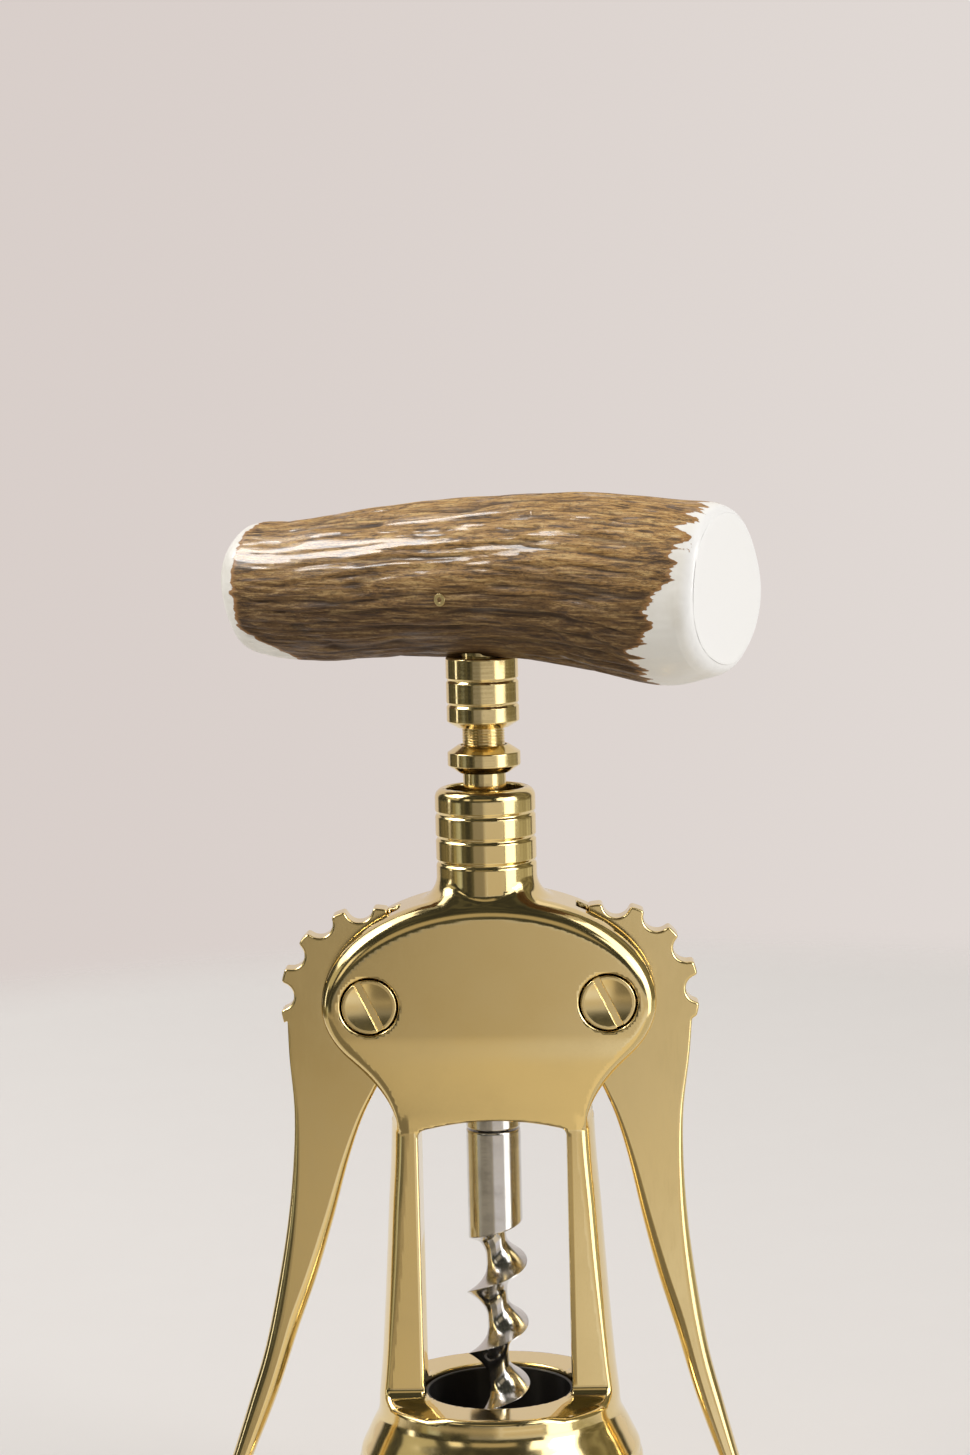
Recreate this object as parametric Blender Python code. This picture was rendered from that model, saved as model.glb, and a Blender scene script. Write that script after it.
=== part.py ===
"""Wing corkscrew with a ring-toothed rack, two geared levers and an antler grip.

Metres, +Z up. The origin is on the worm's axis at the foot of the bell, and the frame's
front faces -Y. Every length is a named value, and the rest is worked out from those.
"""

import math

import bmesh
import bpy
from mathutils import Matrix, Vector
from mathutils.geometry import interpolate_bezier

# Fits
FIT = 0.0003  # clearance where two pieces meet or slide
OVERRUN = 0.003  # how far a cutter runs past what it cuts
MERGE = 0.000001  # points closer than this are one point

# Spindle, rack and gears, from the middle outwards
ROD_RADIUS = 0.0025
RACK_WALL = 0.0016
RIDGE_RADIUS = 0.00185  # each ring tooth of the rack is half a round bead
GULLET_CLEARANCE = 0.0006  # the levers' round gullets are this much larger than the beads
GEAR_TIP_RADIUS = 0.01625
PITCH_DEPTH = 0.00105  # from the gear's tips in to its pitch circle
TOOTH_STEP = math.radians(27)
FIRST_TOOTH = math.radians(2)
TEETH_BELOW = 1  # teeth of a lever below the one that faces the rack
TEETH_ABOVE = 7
RIDGES_BELOW = 2  # ring teeth of the rack below the pivots
RIDGES_ABOVE = 4

# Bell, from the cork's way outwards
RING_BORE = 0.0138
LINER_NECK_WALL = 0.0007
LIP_BORE = 0.0152  # room for a bottle's lip
LINER_WALL = 0.0028
LINER_LEAD = 0.0014  # widening at the liner's mouth
LINER_INSET = 0.001  # the liner's mouth stands this far above the foot
LINER_SHOULDER = 0.0025
SKIRT_WALL = 0.0046
FOOT_LIP = 0.0012
FOOT_HEIGHT = 0.0032
FOOT_ROUND = 0.0006
BEAD_HEIGHT = 0.0199
BEAD_RADIUS = 0.003
RING_HEIGHT = 0.0062  # thickness of the bell's top ring
LEDGE_HEIGHT = 0.0332
LEDGE_RADIUS = 0.0202

# Legs, window and head
LEG_TOP_RADIUS = 0.0172
LEG_THICKNESS = 0.0148
LEG_FILLET = 0.0032
WINDOW_WIDTH = 0.0262
WINDOW_HEIGHT = 0.0483
WINDOW_SINK = 0.0003  # the window's floor lies this far below the ledge
WINDOW_CORNER = 0.0014
ARCH_RISE = 0.0018
PIVOT_RISE = 0.0232  # from the window's upper corners to the pivots
HEAD_THICKNESS = 0.0204
HEAD_MARGIN = 0.0085  # head beside the pivots
HEAD_RISE = 0.019
HEAD_DROP = 0.0179
HEAD_TOP_ROUND = 0.004
HEAD_SIDE_ROUND = 0.0022
HEAD_FOOT_ROUND = 0.0004
HEAD_WAIST = math.radians(46)  # where the head's lower curve turns into the legs
WAIST_LEAD_SHARES = (0.18, 0.25)  # handles of that turn, in shares of the head's drop
SLOT_ROOM = 0.0005  # room round the teeth in the levers' slots

# Collar
COLLAR_WALL = 0.00205
COLLAR_HEIGHT = 0.0183
COLLAR_ROUND = 0.0018
COLLAR_GROOVES = 3
GROOVE_SPACING = 0.0043
GROOVE_WIDTH = 0.0008
GROOVE_DEPTH = 0.00025
NECK_FILLET = 0.0037
NECK_FILLET_RISE = 0.0022
NECK_HANDLE_SHARES = (0.9, 0.54, 0.15)  # handles of the fillet: down, then in and up
NECK_ROOT_SHARES = (0.3, 0.2)  # how far fillet and collar reach down into the head

# Levers
LEVER_THICKNESS = 0.005
LEVER_EDGE_ROUND = 0.0003
ARM_DROP = 0.0925
ARM_EDGE_ROUND = 0.0016
ARM_BLEND_SHARE = 0.15  # the edges start to round this far down the arm
ARM_ROOT = math.radians(12)  # from the arm's inner edge to the hub's free stretch
TOOTH_TIP_ROUND = 0.00045
GULLET_SWEEP = math.radians(76)  # half of a gullet's arc
LEFT_ARM_SPLAY = math.radians(1.75)
RIGHT_ARM_SPLAY = math.radians(-2.1)

# Pivots
BARREL_RADIUS = 0.003
SCREW_RADIUS = 0.0016
SCREW_DEPTH = 0.0075
HEAD_RADIUS = 0.0048
HEAD_HEIGHT = 0.0018
HEAD_DISH = 0.0003
DISH_SHARES = (0.8, 0.75)  # the dish's reach over the head, and its depth half way out
HEAD_SLOT_WIDTH = 0.0012
HEAD_SLOT_DEPTH = 0.0007
HEAD_SLOT_TURN = math.radians(25)
COUNTERBORE_DEPTH = 0.0021

# Stem, stop collar and ferrule
STEM_RADIUS = 0.0038
STEM_SOCKET_DEPTH = 0.015
STOP_RADIUS = 0.00645
STOP_BAND = 0.0023
STOP_CONE = 0.0013
STOP_GAP = 0.0026  # collar rim to stop collar
THREAD_SHOWN = 0.0031
FERRULE_RADIUS = 0.0064
FERRULE_HEIGHT = 0.0125
FERRULE_CONE = 0.0011
FERRULE_GROOVES = 2
FERRULE_GROOVE_SPACING = 0.0043
FERRULE_TOP_BAND = 0.0041

# Grip
GRIP_LEFT = 0.0505
GRIP_RIGHT = 0.0491
GRIP_RADIUS = 0.0143
GRIP_TURN = math.radians(-30)
STEM_INSIDE = 0.0165  # how far the stem reaches into the grip
PIN_RADIUS = 0.001
PIN_BORE = 0.00045
PIN_SETBACK = 0.0034  # the pin lies this far below the grip's middle
PIN_SUNK = 0.0003
PIN_REACH_SHARE = 0.93  # half the grip's thickness where the pin crosses it
GRIP_FLAT_SHARE = 0.95  # thickness of the grip over its height
KNOB_SHARES = (0.018, 0.012)  # height of the antler's three and five long swellings
KNOB_TURNS = (9, -4)  # how far the swellings wind round along the grip, in radians

# Worm
SHANK_RADIUS = 0.00475
SHANK_LENGTH = 0.0214
SHANK_SLANT = 0.007  # rise of the shank's lower edge in a turn
SHANK_CHAMFER = 0.0004
SOCKET_DEPTH = 0.01
WORM_BELOW_ARCH = 0.001
WORM_RADIUS = 0.0055
WORM_CORE = 0.0018
WORM_PITCH = 0.0113
WORM_LENGTH = 0.0575
WORM_POINT = 0.009
WORM_RUNOUT = 0.0008
CREST_DROP = 0.0254  # from the shank's top down to the first crest on the right
FLIGHT_SHARPNESS = 2.2
CREST_CROWDING = 1.3  # draws the facets' corners to the flight's crest
RUNOUT_START = math.radians(60)  # where the shank starts to fade into the flight
THRUST_HEIGHT = 0.0025

# Facets
ROUND_STEPS = 36
COLLAR_STEPS = 28
SMALL_STEPS = 24
TINY_STEPS = 14
WORM_RINGS = 54
GRIP_SIDES = 20
GRIP_RINGS = 13

# Worked out from the sizes above
HALF = 0.5
RACK_BORE = ROD_RADIUS + FIT
RACK_ROOT = RACK_BORE + RACK_WALL
RIDGE_CENTRE = RACK_ROOT + FIT
RACK_TIP = RIDGE_CENTRE + RIDGE_RADIUS
COLLAR_BORE = RACK_TIP + FIT
COLLAR_RADIUS = COLLAR_BORE + COLLAR_WALL
GULLET_RADIUS = RIDGE_RADIUS + GULLET_CLEARANCE
PITCH_RADIUS = GEAR_TIP_RADIUS - PITCH_DEPTH
PIVOT_REACH = RIDGE_CENTRE + GEAR_TIP_RADIUS
WINDOW_TOP = LEDGE_HEIGHT + WINDOW_HEIGHT
PIVOT_HEIGHT = WINDOW_TOP + PIVOT_RISE
HEAD_REACH = PIVOT_REACH + HEAD_MARGIN
HEAD_TOP = PIVOT_HEIGHT + HEAD_RISE
RIM_HEIGHT = HEAD_TOP + COLLAR_HEIGHT
STOP_BOTTOM = RIM_HEIGHT + STOP_GAP
STOP_TOP = STOP_BOTTOM + STOP_BAND + STOP_CONE + STOP_CONE
FERRULE_BOTTOM = STOP_TOP + THREAD_SHOWN
FERRULE_TOP = FERRULE_BOTTOM + FERRULE_HEIGHT
GRIP_HEIGHT = FERRULE_TOP + GRIP_RADIUS
WORM_TOP = WINDOW_TOP - WORM_BELOW_ARCH
RACK_BOTTOM = WORM_TOP + FIT + THRUST_HEIGHT + FIT
RIDGE_STEP = PITCH_RADIUS * TOOTH_STEP
FIRST_RIDGE = PIVOT_HEIGHT + PITCH_RADIUS * (FIRST_TOOTH + TOOTH_STEP * HALF)
RACK_TOP = FIRST_RIDGE + RIDGE_STEP * (RIDGES_ABOVE - HALF)
STEM_BOTTOM = RACK_TOP + FIT
LINER_RADIUS = LIP_BORE + LINER_WALL
CAVITY_RADIUS = LINER_RADIUS + FIT
SKIRT_RADIUS = CAVITY_RADIUS + SKIRT_WALL
RING_BOTTOM = LEDGE_HEIGHT - RING_HEIGHT

BRASS = ("brass", (0.83, 0.66, 0.32, 1.0), 0.12, 1.0)
STEEL = ("steel", (0.62, 0.61, 0.59, 1.0), 0.18, 1.0)
ANTLER = ("antler", (0.30, 0.19, 0.10, 1.0), 0.45, 0.0)
LINER = ("liner", (0.02, 0.018, 0.018, 1.0), 0.5, 0.0)


# Building blocks
def material(look):
    """Make the material of a look, or find it if it has been made."""
    name, colour, roughness, metallic = look
    found = bpy.data.materials.get(name)
    if found:
        return found
    made = bpy.data.materials.new(name)
    made.use_nodes = True
    shader = made.node_tree.nodes["Principled BSDF"]
    shader.inputs["Base Color"].default_value = colour
    shader.inputs["Roughness"].default_value = roughness
    shader.inputs["Metallic"].default_value = metallic
    return made


def body(name, bm, look=BRASS, parent=None):
    """Turn a bmesh into a named object, smooth but for its sharp edges."""
    bmesh.ops.remove_doubles(bm, verts=bm.verts, dist=MERGE)
    bmesh.ops.recalc_face_normals(bm, faces=bm.faces)
    mesh = bpy.data.meshes.new(name)
    bm.to_mesh(mesh)
    bm.free()
    mesh.shade_smooth()
    mesh.set_sharp_from_angle(angle=math.radians(35))
    mesh.materials.append(material(look))
    made = bpy.data.objects.new(name, mesh)
    bpy.context.scene.collection.objects.link(made)
    made.parent = parent
    return made


def empty(name, place, parent=None):
    """Mark a joint's axis, for the pieces that move on it."""
    made = bpy.data.objects.new(name, None)
    bpy.context.scene.collection.objects.link(made)
    made.location = place
    made.parent = parent
    return made


def combine(target, tool, operation):
    """Cut or join one object with another, which is used up."""
    modifier = target.modifiers.new(operation, "BOOLEAN")
    modifier.operation = operation
    modifier.solver = "EXACT"
    modifier.object = tool
    graph = bpy.context.evaluated_depsgraph_get()
    result = bpy.data.meshes.new_from_object(target.evaluated_get(graph))
    target.modifiers.clear()
    target.data = result
    bpy.data.objects.remove(tool)
    bm = bmesh.new()
    bm.from_mesh(result)
    bmesh.ops.remove_doubles(bm, verts=bm.verts, dist=MERGE)
    bmesh.ops.dissolve_degenerate(bm, edges=bm.edges, dist=MERGE)
    bm.to_mesh(result)
    bm.free()
    result.shade_smooth()
    result.set_sharp_from_angle(angle=math.radians(35))


def turned(name, outline, look=BRASS, parent=None, steps=ROUND_STEPS):
    """Turn an outline of (radius, height) points about Z."""
    bm = bmesh.new()
    points = [bm.verts.new((radius, 0, height)) for radius, height in outline]
    edges = [bm.edges.new(pair) for pair in zip(points, points[1:])]
    if outline[0][0] > 0:
        edges.append(bm.edges.new((points[-1], points[0])))
    turn = {"cent": (0, 0, 0), "axis": (0, 0, 1), "angle": math.tau}
    bmesh.ops.spin(bm, geom=points + edges, steps=steps, use_merge=True, **turn)
    return body(name, bm, look, parent)


def loft(name, rings, look=BRASS, parent=None):
    """Skin rings of as many points each, with a flat cap at each end."""
    bm = bmesh.new()
    loops = [[bm.verts.new(point) for point in ring] for ring in rings]
    count = len(loops[0])
    for low, high in zip(loops, loops[1:]):
        for i in range(count):
            j = (i + 1) % count
            bm.faces.new((low[i], low[j], high[j], high[i]))
    bm.faces.new(loops[0])
    bm.faces.new(loops[-1])
    return body(name, bm, look, parent)


def circle(radius, height, steps=SMALL_STEPS):
    """A ring of points about Z."""
    turns = [math.tau * i / steps for i in range(steps)]
    return [(radius * math.cos(a), radius * math.sin(a), height) for a in turns]


def rod(name, radius, low, high, look=BRASS, parent=None, steps=SMALL_STEPS):
    """A plain round bar along Z."""
    return loft(name, [circle(radius, low, steps), circle(radius, high, steps)], look, parent)


def lay_along_y(target, x, z):
    """Turn a piece made about Z so that its top faces the front, and set it at a pivot."""
    target.data.transform(Matrix.Rotation(math.radians(90), 4, "X"))
    target.data.transform(Matrix.Translation((x, 0, z)))


def prism(name, outline, depth):
    """Extrude an outline of (x, z) points along Y, evenly about the middle."""
    sides = (-depth * HALF, depth * HALF)
    return loft(name, [[(x, y, z) for x, z in outline] for y in sides])


def arc(centre, radius, start, end, steps):
    """Points of an arc from one angle to another."""
    turns = [start + (end - start) * i / steps for i in range(steps + 1)]
    return [(centre[0] + radius * math.cos(a), centre[1] + radius * math.sin(a)) for a in turns]


def curve(start, lead, follow, end, steps):
    """Points of a Bezier curve between two points, with its two handles."""
    flat = [Vector((x, z, 0)) for x, z in (start, lead, follow, end)]
    return [(p.x, p.y) for p in interpolate_bezier(*flat, steps + 1)]


def through(points, steps):
    """A smooth curve through a few points, for outlines drawn by eye."""
    padded = [points[0]] + list(points) + [points[-1]]
    out = []
    for a, b, c, d in zip(padded, padded[1:], padded[2:], padded[3:]):
        lead = (b[0] + (c[0] - a[0]) / 6, b[1] + (c[1] - a[1]) / 6)
        follow = (c[0] - (d[0] - b[0]) / 6, c[1] - (d[1] - b[1]) / 6)
        out += curve(b, lead, follow, c, steps)[:-1]
    return out + [points[-1]]


def mix(low, high, share):
    """Blend two values, evenly and with soft ends."""
    share = min(max(share, 0), 1)
    return low + (high - low) * share * share * (3 - 2 * share)


def rounded_plate(name, outline, depth, rounds, look=BRASS, parent=None, steps=3):
    """Extrude an outline along Y and round both its edges, each point by its own radius."""
    corners = [Vector(point) for point in outline]
    area = sum(a.x * b.y - b.x * a.y for a, b in zip(corners, corners[1:] + corners[:1]))
    turn = math.copysign(1, area)
    inward = []
    for before, here, after in zip(corners[-1:] + corners, corners, corners[1:] + corners[:1]):
        one = (here - before).normalized()
        two = (after - here).normalized()
        normal = (Vector((-one.y, one.x)) + Vector((-two.y, two.x))).normalized() * turn
        inward.append(normal / max(math.sqrt((1 + one.dot(two)) * HALF), HALF))
    sweep = [math.radians(90) * i / steps for i in range(steps, -1, -1)]
    rings = []
    for side in (-1, 1):
        for angle in sweep[::side * -1]:
            ring = []
            for point, normal, radius in zip(corners, inward, rounds):
                place = point + normal * radius * (1 - math.cos(angle))
                out = depth * HALF - radius * (1 - math.sin(angle))
                ring.append((place.x, side * out, place.y))
            rings.append(ring)
    return loft(name, rings, look, parent)


# Frame
def bell_and_legs():
    """The turned blank of bell and legs, from the foot up into the head."""
    leg_shares = ((0.0, 0.0), (0.22, 0.1), (0.45, 0.32), (0.68, 0.6), (0.88, 0.86), (1.0, 1.0))
    flare_shares = ((0.3, 0.1), (0.55, 0.28), (0.75, 0.55), (0.9, 0.82))
    top = PIVOT_HEIGHT - HEAD_DROP * HALF * HALF
    outline = [(0, top), (LEG_TOP_RADIUS, top)]
    for drop, growth in leg_shares:
        height = PIVOT_HEIGHT - HEAD_DROP - drop * (PIVOT_HEIGHT - HEAD_DROP - LEDGE_HEIGHT)
        outline.append((LEG_TOP_RADIUS + growth * (LEDGE_RADIUS - LEG_TOP_RADIUS), height))
    bead = (SKIRT_RADIUS - FIT, BEAD_HEIGHT)
    groove = arc(bead, BEAD_RADIUS, math.radians(80), math.radians(-90), 8)
    for drop, growth in flare_shares:
        height = LEDGE_HEIGHT + drop * (groove[0][1] - LEDGE_HEIGHT)
        outline.append((LEDGE_RADIUS + growth * (groove[0][0] - LEDGE_RADIUS), height))
    outline += groove
    foot = SKIRT_RADIUS + FOOT_LIP
    outline.append((SKIRT_RADIUS, groove[-1][1] - BEAD_RADIUS * HALF))
    outline.append((SKIRT_RADIUS, FOOT_HEIGHT + FOOT_LIP))
    outline.append((foot, FOOT_HEIGHT))
    outline += [(foot, FOOT_ROUND), (foot - FOOT_ROUND, 0), (0, 0)]
    return turned("frame_casting", outline)


def side_cutter(side):
    """What is milled off the blank in front or behind, with a round foot to each leg."""
    face = LEG_THICKNESS * HALF
    far = SKIRT_RADIUS + OVERRUN
    centre = (face + LEG_FILLET, LEDGE_HEIGHT + LEG_FILLET)
    section = arc(centre, LEG_FILLET, math.radians(180), math.radians(270), 5)
    section += [(far, LEDGE_HEIGHT), (far, HEAD_TOP), (face, HEAD_TOP)]
    rings = [[(x, side * y, z) for y, z in section] for x in (-far, far)]
    return loft("side_cutter", rings)


def head_outline():
    """The head's outline: half an ellipse above the pivots and one below, run into the legs."""
    face = LEG_THICKNESS * HALF
    leg = math.sqrt((LEG_TOP_RADIUS + FIT) ** 2 - face**2)
    right = []
    for i in range(12):
        angle = math.radians(90 - 90 * i / 11)
        right.append((HEAD_REACH * math.cos(angle), PIVOT_HEIGHT + HEAD_RISE * math.sin(angle)))
    for i in range(1, 5):
        angle = HEAD_WAIST * i / 4
        right.append((HEAD_REACH * math.cos(angle), PIVOT_HEIGHT - HEAD_DROP * math.sin(angle)))
    start = right[-1]
    along = Vector((-HEAD_REACH * math.sin(HEAD_WAIST), -HEAD_DROP * math.cos(HEAD_WAIST)))
    lead = Vector(start) + along.normalized() * HEAD_DROP * WAIST_LEAD_SHARES[0]
    end = (leg, WINDOW_TOP)
    follow = (leg, WINDOW_TOP + HEAD_DROP * WAIST_LEAD_SHARES[1])
    right += curve(start, lead, follow, end, 5)[1:]
    left = [(-x, z) for x, z in right[::-1][:-1]]
    return right + left


def slope_cutter(side):
    """What the head's face gives up below, where it slopes back to the thinner legs."""
    foot = Vector((LEG_THICKNESS * HALF - FIT, WINDOW_TOP))
    waist = Vector((HEAD_THICKNESS * HALF, PIVOT_HEIGHT - HEAD_DROP * math.sin(HEAD_WAIST)))
    past = (waist - foot).normalized() * OVERRUN
    low, high = foot - past, waist + past
    far = high.x + OVERRUN
    section = [tuple(low), tuple(high), (far, high.y), (far, low.y)]
    rings = [[(x, side * y, z) for y, z in section] for x in (-HEAD_REACH, HEAD_REACH)]
    return loft("slope_cutter", rings)


def head():
    """The flat oval head that holds both pivots."""
    outline = head_outline()
    rounds = []
    for x, z in outline:
        share = (z - PIVOT_HEIGHT + HEAD_DROP * HALF) / (HEAD_DROP * HALF + HEAD_RISE * HALF)
        radius = mix(HEAD_SIDE_ROUND, HEAD_TOP_ROUND, share)
        low = (z - WINDOW_TOP) / (HEAD_DROP * HALF * HALF)
        rounds.append(mix(HEAD_FOOT_ROUND, radius, low))
    plate = rounded_plate("head", outline, HEAD_THICKNESS, rounds)
    for side in (-1, 1):
        combine(plate, slope_cutter(side), "DIFFERENCE")
    return plate


def neck():
    """The soft run from the round collar into the head."""
    steep = (COLLAR_RADIUS, HEAD_TOP + NECK_FILLET_RISE)
    wide = COLLAR_RADIUS + NECK_FILLET
    end = (wide, PIVOT_HEIGHT + HEAD_RISE * math.sqrt(1 - (wide / HEAD_REACH) ** 2))
    down, inward, upward = NECK_HANDLE_SHARES
    lead = (steep[0], steep[1] - NECK_FILLET_RISE * down)
    follow = (end[0] - NECK_FILLET * inward, end[1] + NECK_FILLET * upward)
    outline = curve(steep, lead, follow, end, 5)
    bottom = HEAD_TOP - HEAD_RISE * NECK_ROOT_SHARES[0]
    outline = [(COLLAR_RADIUS, steep[1] + OVERRUN)] + outline + [(wide, bottom)]
    rings = []
    for radius, height in outline:
        share = (height - bottom) / (steep[1] - bottom)
        depth = mix(HEAD_THICKNESS * HALF - FIT, COLLAR_RADIUS, share)
        ring = circle(radius, height, COLLAR_STEPS)
        rings.append([(x, y * depth / radius, z) for x, y, z in ring])
    return loft("neck", rings)


def grooved(radius, first, count, spacing):
    """Shallow V grooves down a turned wall, from the first one's middle."""
    points = []
    for i in range(count):
        middle = first - i * spacing
        points.append((radius, middle + GROOVE_WIDTH * HALF))
        points.append((radius - GROOVE_DEPTH, middle))
        points.append((radius, middle - GROOVE_WIDTH * HALF))
    return points


def collar():
    """The grooved collar that guides the rack."""
    corner = (COLLAR_RADIUS - COLLAR_ROUND, RIM_HEIGHT - COLLAR_ROUND)
    outline = [(0, RIM_HEIGHT)]
    outline += arc(corner, COLLAR_ROUND, math.radians(90), 0, 5)
    first = RIM_HEIGHT - GROOVE_SPACING - GROOVE_DEPTH
    outline += grooved(COLLAR_RADIUS, first, COLLAR_GROOVES, GROOVE_SPACING)
    bottom = HEAD_TOP - HEAD_RISE * NECK_ROOT_SHARES[1]
    outline += [(COLLAR_RADIUS, HEAD_TOP + NECK_FILLET_RISE), (COLLAR_RADIUS - FIT, bottom)]
    outline.append((0, bottom))
    return turned("collar", outline, steps=COLLAR_STEPS)


def window():
    """The opening between the legs, with its arched top."""
    reach = WINDOW_WIDTH * HALF
    floor = LEDGE_HEIGHT - WINDOW_SINK
    low = (reach - WINDOW_CORNER, floor + WINDOW_CORNER)
    right = arc(low, WINDOW_CORNER, math.radians(-90), 0, 3)
    high = (reach - WINDOW_CORNER * HALF, WINDOW_TOP - WINDOW_CORNER * HALF)
    right.append((reach, WINDOW_TOP - WINDOW_CORNER))
    right.append(high)
    for i in range(1, 5):
        share = 1 - i / 5
        right.append((high[0] * share, high[1] + (ARCH_RISE + WINDOW_CORNER * HALF) * (1 - share**2)))
    top = [(0, WINDOW_TOP + ARCH_RISE)]
    left = [(-x, z) for x, z in right[::-1]]
    return prism("window", right + top + left, HEAD_THICKNESS + OVERRUN + OVERRUN)


def cavity():
    """The bell's hollow, and the ring's bore above it."""
    outline = [(0, -OVERRUN), (CAVITY_RADIUS, -OVERRUN), (CAVITY_RADIUS, RING_BOTTOM)]
    outline += [(RING_BORE, RING_BOTTOM), (RING_BORE, LEDGE_HEIGHT + OVERRUN)]
    outline.append((0, LEDGE_HEIGHT + OVERRUN))
    return turned("cavity", outline)


def lever_slot(side):
    """The slot that a lever's toothed hub turns in."""
    face = LEVER_THICKNESS * HALF + FIT
    slot = rod("slot", GEAR_TIP_RADIUS + SLOT_ROOM, -face, face, steps=ROUND_STEPS)
    lay_along_y(slot, side * PIVOT_REACH, PIVOT_HEIGHT)
    return slot


def pivot_bore(side):
    """A pivot's hole with a counterbore at each face."""
    face = HEAD_THICKNESS * HALF
    floor = face - COUNTERBORE_DEPTH
    wide = HEAD_RADIUS + FIT
    narrow = BARREL_RADIUS + FIT
    outline = [(0, face + OVERRUN), (wide, face + OVERRUN), (wide, floor), (narrow, floor)]
    outline += [(narrow, -floor), (wide, -floor), (wide, -face - OVERRUN), (0, -face - OVERRUN)]
    bore = turned("bore", outline, steps=SMALL_STEPS)
    lay_along_y(bore, side * PIVOT_REACH, PIVOT_HEIGHT)
    return bore


def frame_casting():
    """Bell, legs, head and collar, cast in one and then milled and bored."""
    casting = bell_and_legs()
    for side in (-1, 1):
        combine(casting, side_cutter(side), "DIFFERENCE")
    combine(casting, head(), "UNION")
    combine(casting, neck(), "UNION")
    combine(casting, collar(), "UNION")
    combine(casting, cavity(), "DIFFERENCE")
    combine(casting, window(), "DIFFERENCE")
    rack_bore = rod("rack_bore", COLLAR_BORE, WINDOW_TOP - OVERRUN, RIM_HEIGHT + OVERRUN)
    combine(casting, rack_bore, "DIFFERENCE")
    for side in (-1, 1):
        combine(casting, lever_slot(side), "DIFFERENCE")
        combine(casting, pivot_bore(side), "DIFFERENCE")
    return casting


def bell_liner():
    """The dark sleeve that seats the bottle's lip inside the bell."""
    neck_radius = RING_BORE - FIT
    neck_bore = neck_radius - LINER_NECK_WALL
    top = LEDGE_HEIGHT - WINDOW_SINK - FIT
    step = RING_BOTTOM - FIT
    outline = [(neck_radius, top), (neck_radius, step), (LINER_RADIUS, step)]
    outline += [(LINER_RADIUS, LINER_INSET), (LIP_BORE + LINER_LEAD, LINER_INSET)]
    outline.append((LIP_BORE, LINER_INSET + LINER_LEAD + LINER_LEAD))
    outline += [(LIP_BORE, step - LINER_SHOULDER), (neck_bore, step - LINER_SHOULDER)]
    outline.append((neck_bore, top))
    return turned("bell_liner", outline, LINER)


# Levers
def gear_outline():
    """Tips and round gullets, from the tooth below the rack's side round to the last one."""
    centre = (0, 0)
    mouth = 2 * math.asin(GULLET_RADIUS * HALF / GEAR_TIP_RADIUS)
    tip = TOOTH_TIP_ROUND / GEAR_TIP_RADIUS
    points = []
    for i in range(-TEETH_BELOW, TEETH_ABOVE + 1):
        middle = FIRST_TOOTH + i * TOOTH_STEP
        reach = TOOTH_STEP * HALF - mouth
        points += arc(centre, GEAR_TIP_RADIUS, middle - reach + tip, middle + reach - tip, 1)
        if i == TEETH_ABOVE:
            break
        gullet = middle + TOOTH_STEP * HALF
        hub = (GEAR_TIP_RADIUS * math.cos(gullet), GEAR_TIP_RADIUS * math.sin(gullet))
        inward = gullet + math.radians(180)
        points += arc(hub, GULLET_RADIUS, inward + GULLET_SWEEP, inward - GULLET_SWEEP, 5)
    return points


def arm_outline():
    """Down the arm's outer edge, round its tip and up the inner edge, as shares of its drop."""
    outer_shares = ((0.162, 0.045), (0.158, 0.12), (0.149, 0.22), (0.151, 0.32), (0.162, 0.44))
    outer_shares += ((0.182, 0.57), (0.208, 0.7), (0.24, 0.81), (0.272, 0.915))
    tip_shares = ((0.296, 0.985), (0.284, 1.0), (0.262, 0.992))
    inner_shares = ((0.234, 0.92), (0.184, 0.79), (0.143, 0.66), (0.106, 0.55), (0.075, 0.44))
    inner_shares += ((0.045, 0.32), (0.018, 0.235), (-0.012, 0.17))
    points = through(outer_shares + tip_shares + inner_shares, 2)
    return [(-x * ARM_DROP, -z * ARM_DROP) for x, z in points]


def lever_outline(splay):
    """A left lever's whole outline about its pivot, and the rounding at each of its points."""
    gear = gear_outline()
    rounds = [LEVER_EDGE_ROUND] * len(gear)
    turn = Matrix.Rotation(-splay, 2)
    arm = [turn @ Vector(point) for point in arm_outline()]
    for x, z in arm:
        rounds.append(mix(LEVER_EDGE_ROUND, ARM_EDGE_ROUND, -z / ARM_DROP - ARM_BLEND_SHARE))
    hub_radius = GEAR_TIP_RADIUS - GULLET_RADIUS
    start = math.atan2(arm[-1][1], arm[-1][0]) + ARM_ROOT
    end = FIRST_TOOTH - (TEETH_BELOW + HALF) * TOOTH_STEP
    hub = arc((0, 0), hub_radius, start, end, 5)
    rounds += [LEVER_EDGE_ROUND] * len(hub)
    return gear + [tuple(point) for point in arm] + hub, rounds


def lever(name, side, splay, parent):
    """A toothed hub and its long arm, cut from one plate and bored for its pivot."""
    outline, rounds = lever_outline(splay)
    outline = [(-side * x, z) for x, z in outline]
    plate = rounded_plate(name, outline, LEVER_THICKNESS, rounds, BRASS, parent, 2)
    bore = rod("bore", BARREL_RADIUS + FIT, -LEVER_THICKNESS, LEVER_THICKNESS)
    lay_along_y(bore, 0, 0)
    bore.parent = parent
    combine(plate, bore, "DIFFERENCE")
    return plate


# Pivots
def screw_head_points(face):
    """The outline of a dished round head whose top is at a height."""
    reach, depth = DISH_SHARES
    dish = HEAD_RADIUS * reach
    return [(0, face - HEAD_DISH), (dish * HALF, face - HEAD_DISH * depth), (dish, face)]


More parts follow.
